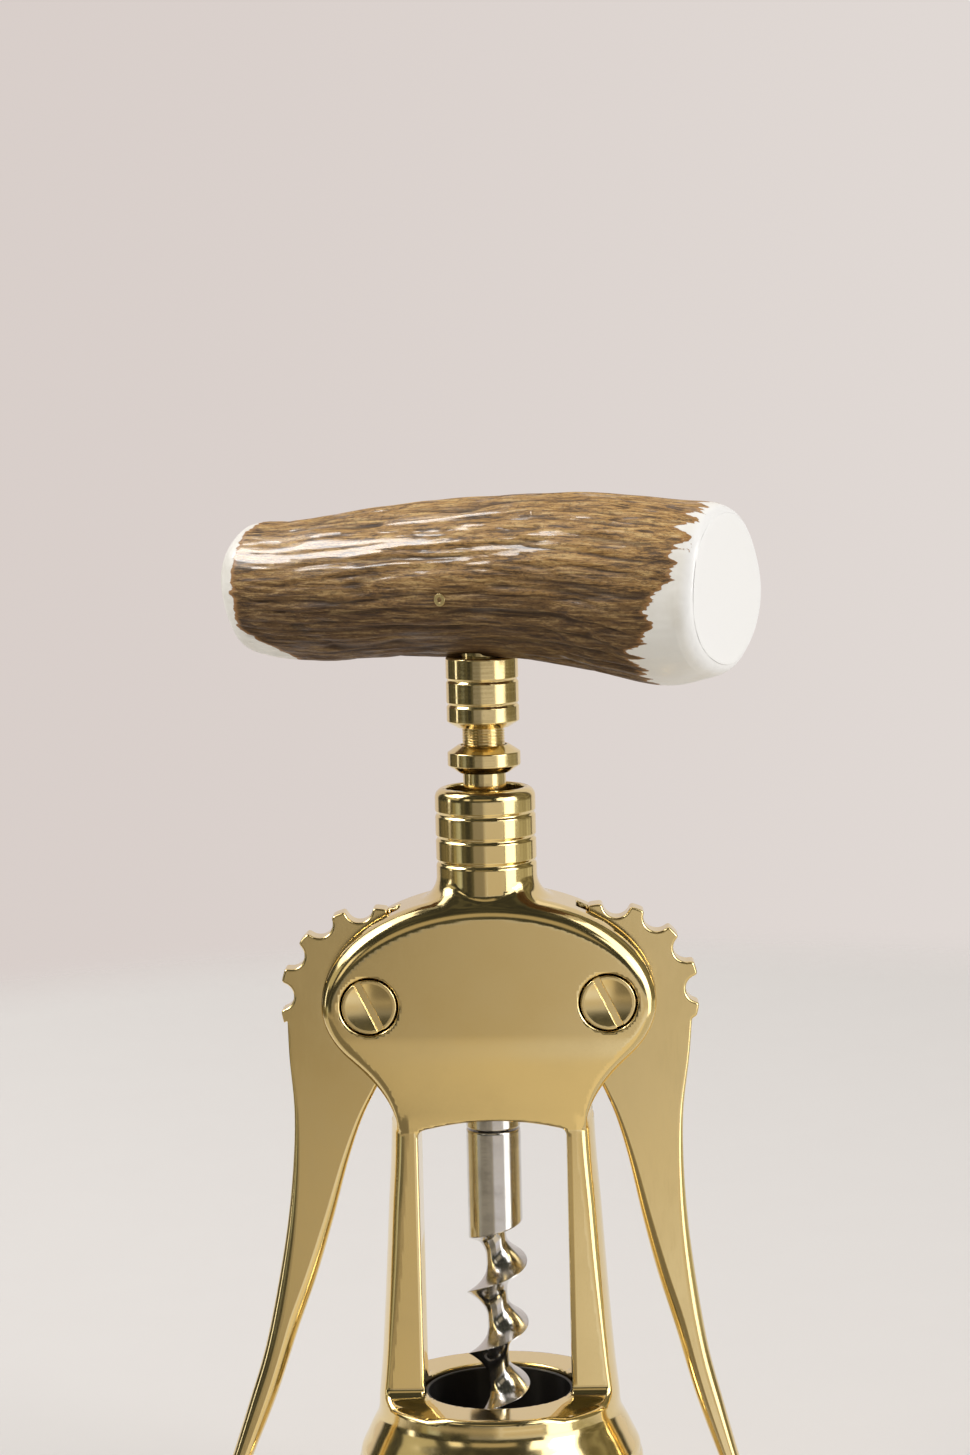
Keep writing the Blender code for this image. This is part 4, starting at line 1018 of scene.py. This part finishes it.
# Worn facets: middle and half width in degrees, then where they start and end
FACETS = ((149, 11.5, -3, 60), (165, 3.0, 18, 46), (131, 4.5, 2, 30), (126, 3.5, 34, 70))


def stations(values):
    """A smooth value along the grip, read at a share of its length."""
    line = through(np.column_stack([np.linspace(0, 1, len(values)), values]))
    return lambda share: float(np.interp(share, line[:, 0], line[:, 1])) * THICK


rise_at, radius_at = stations(RISES), stations(RADII)
length = LEFT + RIGHT
right_end = through(RIGHT_END, 6) * (-1, 1) + (length, 0)
middle_rings = np.column_stack([np.linspace(5.2, length - 3.0, 300), np.ones(300)])
rings = np.concatenate([through(LEFT_END, 7)[1:], middle_rings[1:-1], right_end[:-1]])


def groove(value, narrow):
    """1 where a noise passes 0, falling off to both sides."""
    return (1 - min(1, abs(value) * narrow)) ** 1.5


def veins(u, v, w):
    """Depth of the grooves, 0 on a vein to 1 in a groove, at a place on the grip in mm."""
    wave = 0.7 * noise.noise(Vector((u * 0.05, v * 0.06, w * 0.06)))
    coarse = noise.noise(Vector((u * 0.016, v * 0.36 + wave, w * 0.36)))
    fine = noise.noise(Vector((u * 0.03 + 7, v * 0.95 + wave, w * 0.95)))
    return 0.55 * groove(coarse, 3.6) + 0.45 * groove(fine, 2.8)


def sheen(along, a):
    """How polished a place is: a long worn facet in front, and short ones beside it."""
    shares = []
    for middle, half, start, end in FACETS:
        drift = 2.5 * noise.noise(Vector((along * 0.07, middle, 0)))
        width = half * float(ease(end, start + 0.3 * (end - start), along)) + 0.01
        off = abs(math.degrees(a) % 360 - middle - drift) / width
        shares.append(float(ease(1.15, 0.8, off)) * float(ease(start, start + 2, along)))
    return max(shares)


points, depths, polishes = [(-LEFT, 0, rise_at(0))], [0.3], [0]
for along, scale in rings:
    share = along / length
    crusted = float(ease(3.0, 9.0, along) * ease(length - 11.0, length - 17.0, along))
    for j in range(SIDES):
        a = math.tau * j / SIDES
        swell = 0.018 * math.sin(3 * a + 9 * share) + 0.012 * math.sin(5 * a - 4 * share)
        out = radius_at(share) * scale * (1 + swell)
        v, w = out * 0.95 * math.cos(a), out * math.sin(a)
        worn = sheen(along, a)
        depth = veins(along, v, w) * (1 - 0.74 * worn)
        lump = noise.noise(Vector((along * 0.12, v * 0.14, w * 0.14)))
        cut = 0.8 * depth * (0.12 + 0.88 * crusted) + 0.25 * (0.5 - lump)
        cut = max(cut * min(1, scale * 1.5 - 0.4), 0) if scale > 0.9 else 0
        shrink = 1 - cut / max(out, 1)
        points.append((along - LEFT, v * shrink, w * shrink + rise_at(share)))
        depths.append(depth)
        polishes.append(worn)
points.append((RIGHT, 0, rise_at(1)))
depths.append(0.3)
polishes.append(0)
around = [(j, (j + 1) % SIDES) for j in range(SIDES)]
last = len(points) - 1 - SIDES
faces = [(0, 1 + k, 1 + j) for j, k in around]
for a in range(1, last, SIDES):
    faces += [(a + j, a + k, a + SIDES + k, a + SIDES + j) for j, k in around]
faces += [(last + j, last + k, len(points) - 1) for j, k in around]
size = np.ptp(points, 0).round(1)
print("the grip is", size[0], "mm long and", size[2], "mm deep")

# %% [markdown]
# The colour has three layers. Under it all is bone, white at the ends. Over that lies the
# brown crust, darker in the grooves and tan on the veins, with painted light on it: lighter on
# top and darker underneath, as light from above would make it. An orange-brown edge shows
# where it breaks off in tongues. Last comes the polish: some stretches have a clear coat that
# glints, and others stay dull.

# %% Antler
DEEP_BROWN = (0.040, 0.018, 0.006)


def antler_look(tree, place):
    local = tree.stretch(place, (1.0, 1.0, 1.0), (0.0, 0.0, -GRIP_TURN))
    x, _, z = tree.xyz(local * (1 / MM))
    up = z - GRIP_MIDDLE
    depth = tree.node("ShaderNodeAttribute", {"attribute_name": "groove"}, out="Fac")
    worn = tree.node("ShaderNodeAttribute", {"attribute_name": "worn"}, out="Fac")

    def fibre(along, scale, detail=3.0, roughness=0.6):
        return tree.noise(tree.stretch(local, (along, 1.0, 1.0)), scale, detail, roughness)

    def crests(value):
        """Sharp ridges where a noise passes its middle."""
        return 1.0 - 2.0 * value.math("ABSOLUTE", value - 0.5)

    # Painted light: high is 0 under the grip and 1 on top. It paints the crust lighter on top and
    # darker underneath, as light from above would; the band noise mixed in is the antler's own
    # tone.
    high = up.ease(-13, 13)
    band, strand = fibre(0.12, 320.0), fibre(0.07, 1500.0, 4.0, 0.75)
    hair = fibre(0.3, 3000.0, 3.0, 0.8)
    lit_top_and_band = (high * 0.9 + band * 0.7 - 0.33).ease(0.0, 0.95)
    crust = tree.blend((0.125, 0.062, 0.018), (0.44, 0.24, 0.070), lit_top_and_band)
    # Painted highlight: the pale fibres are the antler's own, but high paints them stronger on
    # top.
    crust = tree.blend(crust, (0.68, 0.45, 0.18), strand.ease(0.51, 0.62) * (0.2 + 0.7 * high))
    crust = tree.blend(crust, DEEP_BROWN, strand.ease(0.49, 0.39) * 0.8)
    crust = tree.blend(crust, DEEP_BROWN, depth.ease(0.35, 0.9) * 0.85)
    crust = tree.blend(crust, (0.05, 0.025, 0.009), hair.ease(0.5, 0.6) * 0.5)
    cloud = tree.noise(local, 110.0, 4.0).ease(0.45, 0.75)
    bone = tree.blend((0.90, 0.87, 0.81), (0.80, 0.76, 0.68), cloud)
    bone = tree.blend(bone, (0.95, 0.94, 0.93), x.ease(RIGHT - 2.6, RIGHT - 0.6))
    speck = tree.noise(local, 2300.0, 1.0).ease(0.80, 0.84) * x.ease(RIGHT - 0.7, RIGHT - 0.3)
    bone = tree.blend(bone, (0.10, 0.08, 0.06), speck * up.ease(-5, -9))
    teeth = crests(fibre(0.03, 300.0, 1.0)) ** 3.0 * 3.4
    teeth = teeth + crests(fibre(0.06, 850.0, 1.0)) ** 2.0 * 1.6
    teeth = teeth + (fibre(0.5, 1800.0) - 0.5) * 1.6
    right = x - (33.0 + 10.0 * up.ease(-18, 6)) - teeth
    left = -1.0 * x - 46.9 + 10.0 * up.ease(-9, -16) + 0.35 * teeth
    bare = right.math("MAXIMUM", right, left)
    rim = tree.blend(crust, (0.40, 0.20, 0.07), bare.ease(-1.3, -0.1) * 0.75)
    colour = tree.blend(rim, bone, bare.ease(-0.12, 0.18))
    gloss = fibre(0.16, 520.0, 2.0).ease(0.54, 0.64) * (0.35 + 0.6 * high)
    coat = worn.math("MAXIMUM", worn, gloss) * bare.ease(0.2, -0.2)
    height = 0.55 * strand + 0.35 * hair - 0.25 * depth
    sockets = {"Base_Color": colour, "Roughness": 0.44 + 0.2 * hair - 0.14 * worn}
    sockets |= {"Specular_IOR_Level": 0.4, "Coat_Roughness": 0.07}
    sockets["Coat_Weight"] = coat + 0.35 * bare.ease(-0.2, 0.2)
    sockets["Normal"] = relief(tree, height * bare.ease(0.4, -0.4), 0.24)
    return principled(tree, **sockets)


shape = points @ turn + (0, 0, GRIP_MIDDLE), faces
antler = finish("antler_polished", antler_look)
grip = piece("grip", shape, antler, "spindle", "handle_grip")
for name, values in (("groove", depths), ("worn", polishes)):
    grip.data.attributes.new(name, "FLOAT", "POINT").data.foreach_set("value", values)


# %% [markdown]
# A small hollow pin crosses grip and stem, and its end shows as a tiny brass ring.

# %% The pin
PIN_HEIGHT = 176.0
corners = [(0.45, -13.4, 0.05), (1.1, -13.4, 0.1), (1.1, 13.4, 0.1), (0.45, 13.4, 0.05)]
points, faces, normals = turned(corners, 40, 3)
points = along_y(points, True, z=PIN_HEIGHT) @ turn
shape = points, faces, along_y(normals, True) @ turn
piece("pin", shape, brass_pin, "spindle", "grip_pin")

# %% [markdown]
# The thin rod inside the rack never shows, and its solid is right as it is, so it stays and
# only gets the steel.

# %% The rod
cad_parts["spindle_rod"].data.materials.clear()
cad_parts["spindle_rod"].data.materials.append(steel)
print("kept as it is: spindle_rod")

# %% [markdown]
# ## The table
#
# A plain pale sheet. It fades out into the background at some distance, so no edge shows.

# %% Floor
FADE = (0.27, 0.38)  # where the sheet fades out, in metres from its middle


def sheet_look(tree, place):
    x, y, _ = tree.xyz(place)
    y = y - 0.30
    away = (x * x + y * y) ** 0.5
    colour = tree.blend((0.745, 0.717, 0.70), (0.73, 0.70, 0.685), tree.noise(place, 40.0, 3.0))
    solid = principled(tree, Base_Color=colour, Roughness=0.75)
    clear = tree.node("ShaderNodeBsdfTransparent")
    return tree.node("ShaderNodeMixShader", None, {0: away.ease(*FADE), 1: solid, 2: clear})


bm = bmesh.new()
bmesh.ops.create_circle(bm, cap_ends=True, segments=96, radius=0.9)
mesh = bpy.data.meshes.new("table_sheet")
bm.to_mesh(mesh)
bm.free()
mesh.materials.append(finish("pale_sheet", sheet_look))
table = add("table_sheet", mesh)
table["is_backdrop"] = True

# %% [markdown]
# ## The room
#
# Polished metal only looks right in a room worth mirroring. The world is one function of
# direction, in degrees round from the camera's side and up from the horizon: a pale wall
# behind, a warm panel low in front with a pale card on it, low walls beside the panel, a dark
# room above them and tall soft lamps to each side.
# The camera sees the pale wall and table only, and so do mirrors that face it. Dull surfaces
# get the same room evened out, as from a tent of paper round the table.

# %% World
SOFTBOX = (2.3, 2.25, 2.18)


def room():
    """Paint the world by direction and show the camera its pale half."""
    world = bpy.context.scene.world or bpy.data.worlds.new("room")
    bpy.context.scene.world = world
    world.use_nodes = True
    world.node_tree.nodes.clear()
    tree = Tree(world.node_tree)
    ray = tree.node("ShaderNodeTexCoord", out="Generated")
    x, y, z = tree.xyz(ray)
    turn = (180 / math.pi) * x.math("ARCTAN2", x, -1.0 * y)
    high = (180 / math.pi) * z.math("ARCSINE", z)

    def span(value, low, top, soft=1.5):
        return value.ease(low - soft, low + soft) * value.ease(top + soft, top - soft)

    def either(one, two):
        return one.math("MAXIMUM", one, two)

    # What the camera sees: the table's colour below and a pale wall above.
    sheet = tree.blend((0.715, 0.665, 0.625), (0.76, 0.72, 0.69), x.ease(-0.25, 0.25))
    wall = tree.blend((0.69, 0.62, 0.59), (0.755, 0.70, 0.67), x.ease(-0.2, 0.2))
    shown = tree.blend(sheet, wall, high.ease(-12.6, -10.6))
    path = tree.new("ShaderNodeLightPath").outputs
    camera, glossy = Wire(tree, path["Is Camera Ray"]), Wire(tree, path["Is Glossy Ray"])
    mirrored = glossy + Wire(tree, path["Is Transmission Ray"])

    # What the brass sees: the pale side behind, and a dark room in front with a low glow.
    behind = tree.blend((0.66, 0.64, 0.62), shown, camera + mirrored)
    mottle = tree.noise(ray, 7.0, 4.0).ease(0.42, 0.68)
    dark = tree.blend((0.035, 0.035, 0.028), (0.10, 0.095, 0.065), mottle)
    front = turn.math("ABSOLUTE", turn).ease(137.0, 131.0)
    view = tree.blend(behind, dark, front)
    view = tree.blend(view, (0.58, 0.53, 0.44), high.ease(-15.0, -20.0) * front)

    # Low walls to both sides: from, to, two colours that mottle, and in which heights.
    low = high.ease(-6.5, -7.5) * high.ease(-20.0, -16.0)
    sides = (
        (-124, -78, (0.12, 0.10, 0.06), (0.28, 0.24, 0.14), low),
        (-78, -70, (0.34, 0.30, 0.17), (0.52, 0.47, 0.28), low),
        (-70, -57, (0.50, 0.52, 0.44), (0.72, 0.74, 0.66), low),
        (74, 128, (0.40, 0.37, 0.26), (0.74, 0.71, 0.58), low),
        (78, 128, (0.14, 0.12, 0.07), (0.30, 0.27, 0.17), high.ease(-7.5, -6.5)),
    )
    for left, right, dull, bright, share in sides:
        share = span(turn, left, right) * share
        view = tree.blend(view, tree.blend(dull, bright, mottle), share)

    # The warm panel low in front, shaded from side to side, with a pale card on it.
    stops = ((0.0, (0.67, 0.58, 0.43)), (0.25, (0.63, 0.545, 0.41)), (0.42, (0.60, 0.52, 0.39)))
    stops += ((0.57, (0.53, 0.45, 0.33)), (0.65, (0.44, 0.375, 0.275)), (0.9, (0.58, 0.56, 0.56)))
    panel = tree.node("ShaderNodeValToRGB", {"stops": stops}, {"Fac": (high + 24.0) / 20.0})
    panel = panel * (0.80 + 0.42 * turn.ease(-9.0, 6.0))
    panel = panel * (1.0 - 0.32 * high.ease(-13.0, -12.0) * turn.ease(-2.4, -4.4))
    panel = panel * (1.0 - 0.62 * high.ease(-14.5, -18.0) * turn.ease(-4.4, -5.8))
    card = turn.ease(-0.9, 0.1) * span(high, -22, -14, 0.8)
    card = either(card, span(turn, 0.8, 3.4, 0.4) * span(high, -12.4, -9.3, 0.5))
    panel = tree.blend(panel, (0.84, 0.84, 0.92), 0.85 * card)
    wide = span(turn, -28, 43.5) * high.ease(-3.5, -5.5)
    wide = either(wide, span(turn, -68, 43.5) * high.ease(-11.0, -13.0))
    view = tree.blend(view, panel, wide)

    # Soft lamps to the sides (left, right, bottom, top) and dim patches high in front.
    lights = ((46, 72, -20, -6), (42.5, 79, -6, 60), (30, 46, 9, 34), (-118, -81, 26, 66))
    lights += ((-125, -66, 32, 66), (-92, -86, -7, 26))
    for left, right, bottom, top in lights:
        share = span(turn, left, right, 0.8) * span(high, bottom, top)
        view = tree.blend(view, SOFTBOX, share)
    patches = ((-100, -62, (0.50, 0.46, 0.33)), (-48, -35, (1.1, 1.0, 0.8)))
    patches += ((-26, 16, (0.44, 0.375, 0.26)),)
    for left, right, colour in patches:
        view = tree.blend(view, colour, span(turn, left, right) * span(high, 10, 27, 3.0))

    tent = tree.blend(view, (0.64, 0.63, 0.61), 0.75)
    colour = tree.blend(tree.blend(tent, view, mirrored), shown, camera)
    light = tree.node("ShaderNodeBackground", None, {"Color": colour, "Strength": 1.0})
    tree.node("ShaderNodeOutputWorld", None, {"Surface": light})
    print("the room has", len(world.node_tree.nodes), "nodes")


room()

# %% [markdown]
# ## Lamps
#
# Three large soft lamps, one high on the left, one lower on the right and a faint one above,
# give the antler its form and the table its light.


# %% Lamps
def lamp(name, place, size, watts, warmth=1.0):
    """A soft lamp that faces the corkscrew."""
    data = bpy.data.lights.new(name, "AREA")
    data.shape, data.size, data.size_y = "RECTANGLE", size[0], size[1]
    data.energy, data.color = watts, (1.0, warmth, warmth**2)
    made = add(name, data)
    made.location = place
    facing = Vector((0, 0, 0.12)) - Vector(place)
    made.rotation_euler = facing.to_track_quat("-Z", "Y").to_euler()
    made.visible_camera = False


lamp("lamp_left", (-1.0, -0.035, 1.15), (0.66, 0.50), 9.6, 0.99)
lamp("lamp_right", (1.1, -0.6, 0.5), (0.5, 0.5), 5.3)
lamp("lamp_top", (0.0, 0.35, 1.3), (0.9, 0.9), 0.6)

# %% [markdown]
# ## The camera
#
# It stands 600 mm in front and a little to the right, looks down on the corkscrew by some
# six degrees and is tilted slightly, as the photograph's upright lines show. The bell's foot
# lies below the picture's edge.

# %% Camera
AWAY, HEIGHT = 0.602, 0.221  # metres from the axis, and above the table
FOCAL, ROWS = 3437, 1455  # focal length and height of the picture, in pixels
azimuth, pitch, roll = math.radians(1.8), math.radians(6.5), math.radians(1.42)
across = Vector((math.cos(azimuth), math.sin(azimuth), 0))
level = Vector((-math.sin(azimuth), math.cos(azimuth), 0))
ahead = level * math.cos(pitch) - Vector((0, 0, math.sin(pitch)))
above = across.cross(ahead)
right = math.cos(roll) * across - math.sin(roll) * above
upward = math.sin(roll) * across + math.cos(roll) * above
data = bpy.data.cameras.new("camera")
data.sensor_width, data.lens = 36.0, 36.0 * FOCAL / ROWS
data.clip_start, data.clip_end = 0.01, 20.0
camera = add("camera", data)
place = -AWAY * level + Vector((0, 0, HEIGHT)) + 0.0003 * across
aimed = Matrix((right, upward, -ahead)).transposed().to_4x4()
camera.matrix_world = Matrix.Translation(place) @ aimed
bpy.context.scene.camera = camera
bpy.context.scene.view_settings.view_transform = "Standard"
print("lens", round(data.lens, 1), "mm")

# %% [markdown]
# ## Check and finish
#
# The dressed corkscrew must fill the same box as its solids.

# %% Compare the boxes and finish
made_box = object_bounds()
plain = {"cad": [list(c) for c in cad_box], "visual": [list(c) for c in made_box]}
for name, corners in plain.items():
    print(name, [[round(v / MM, 2) for v in corner] for corner in corners])
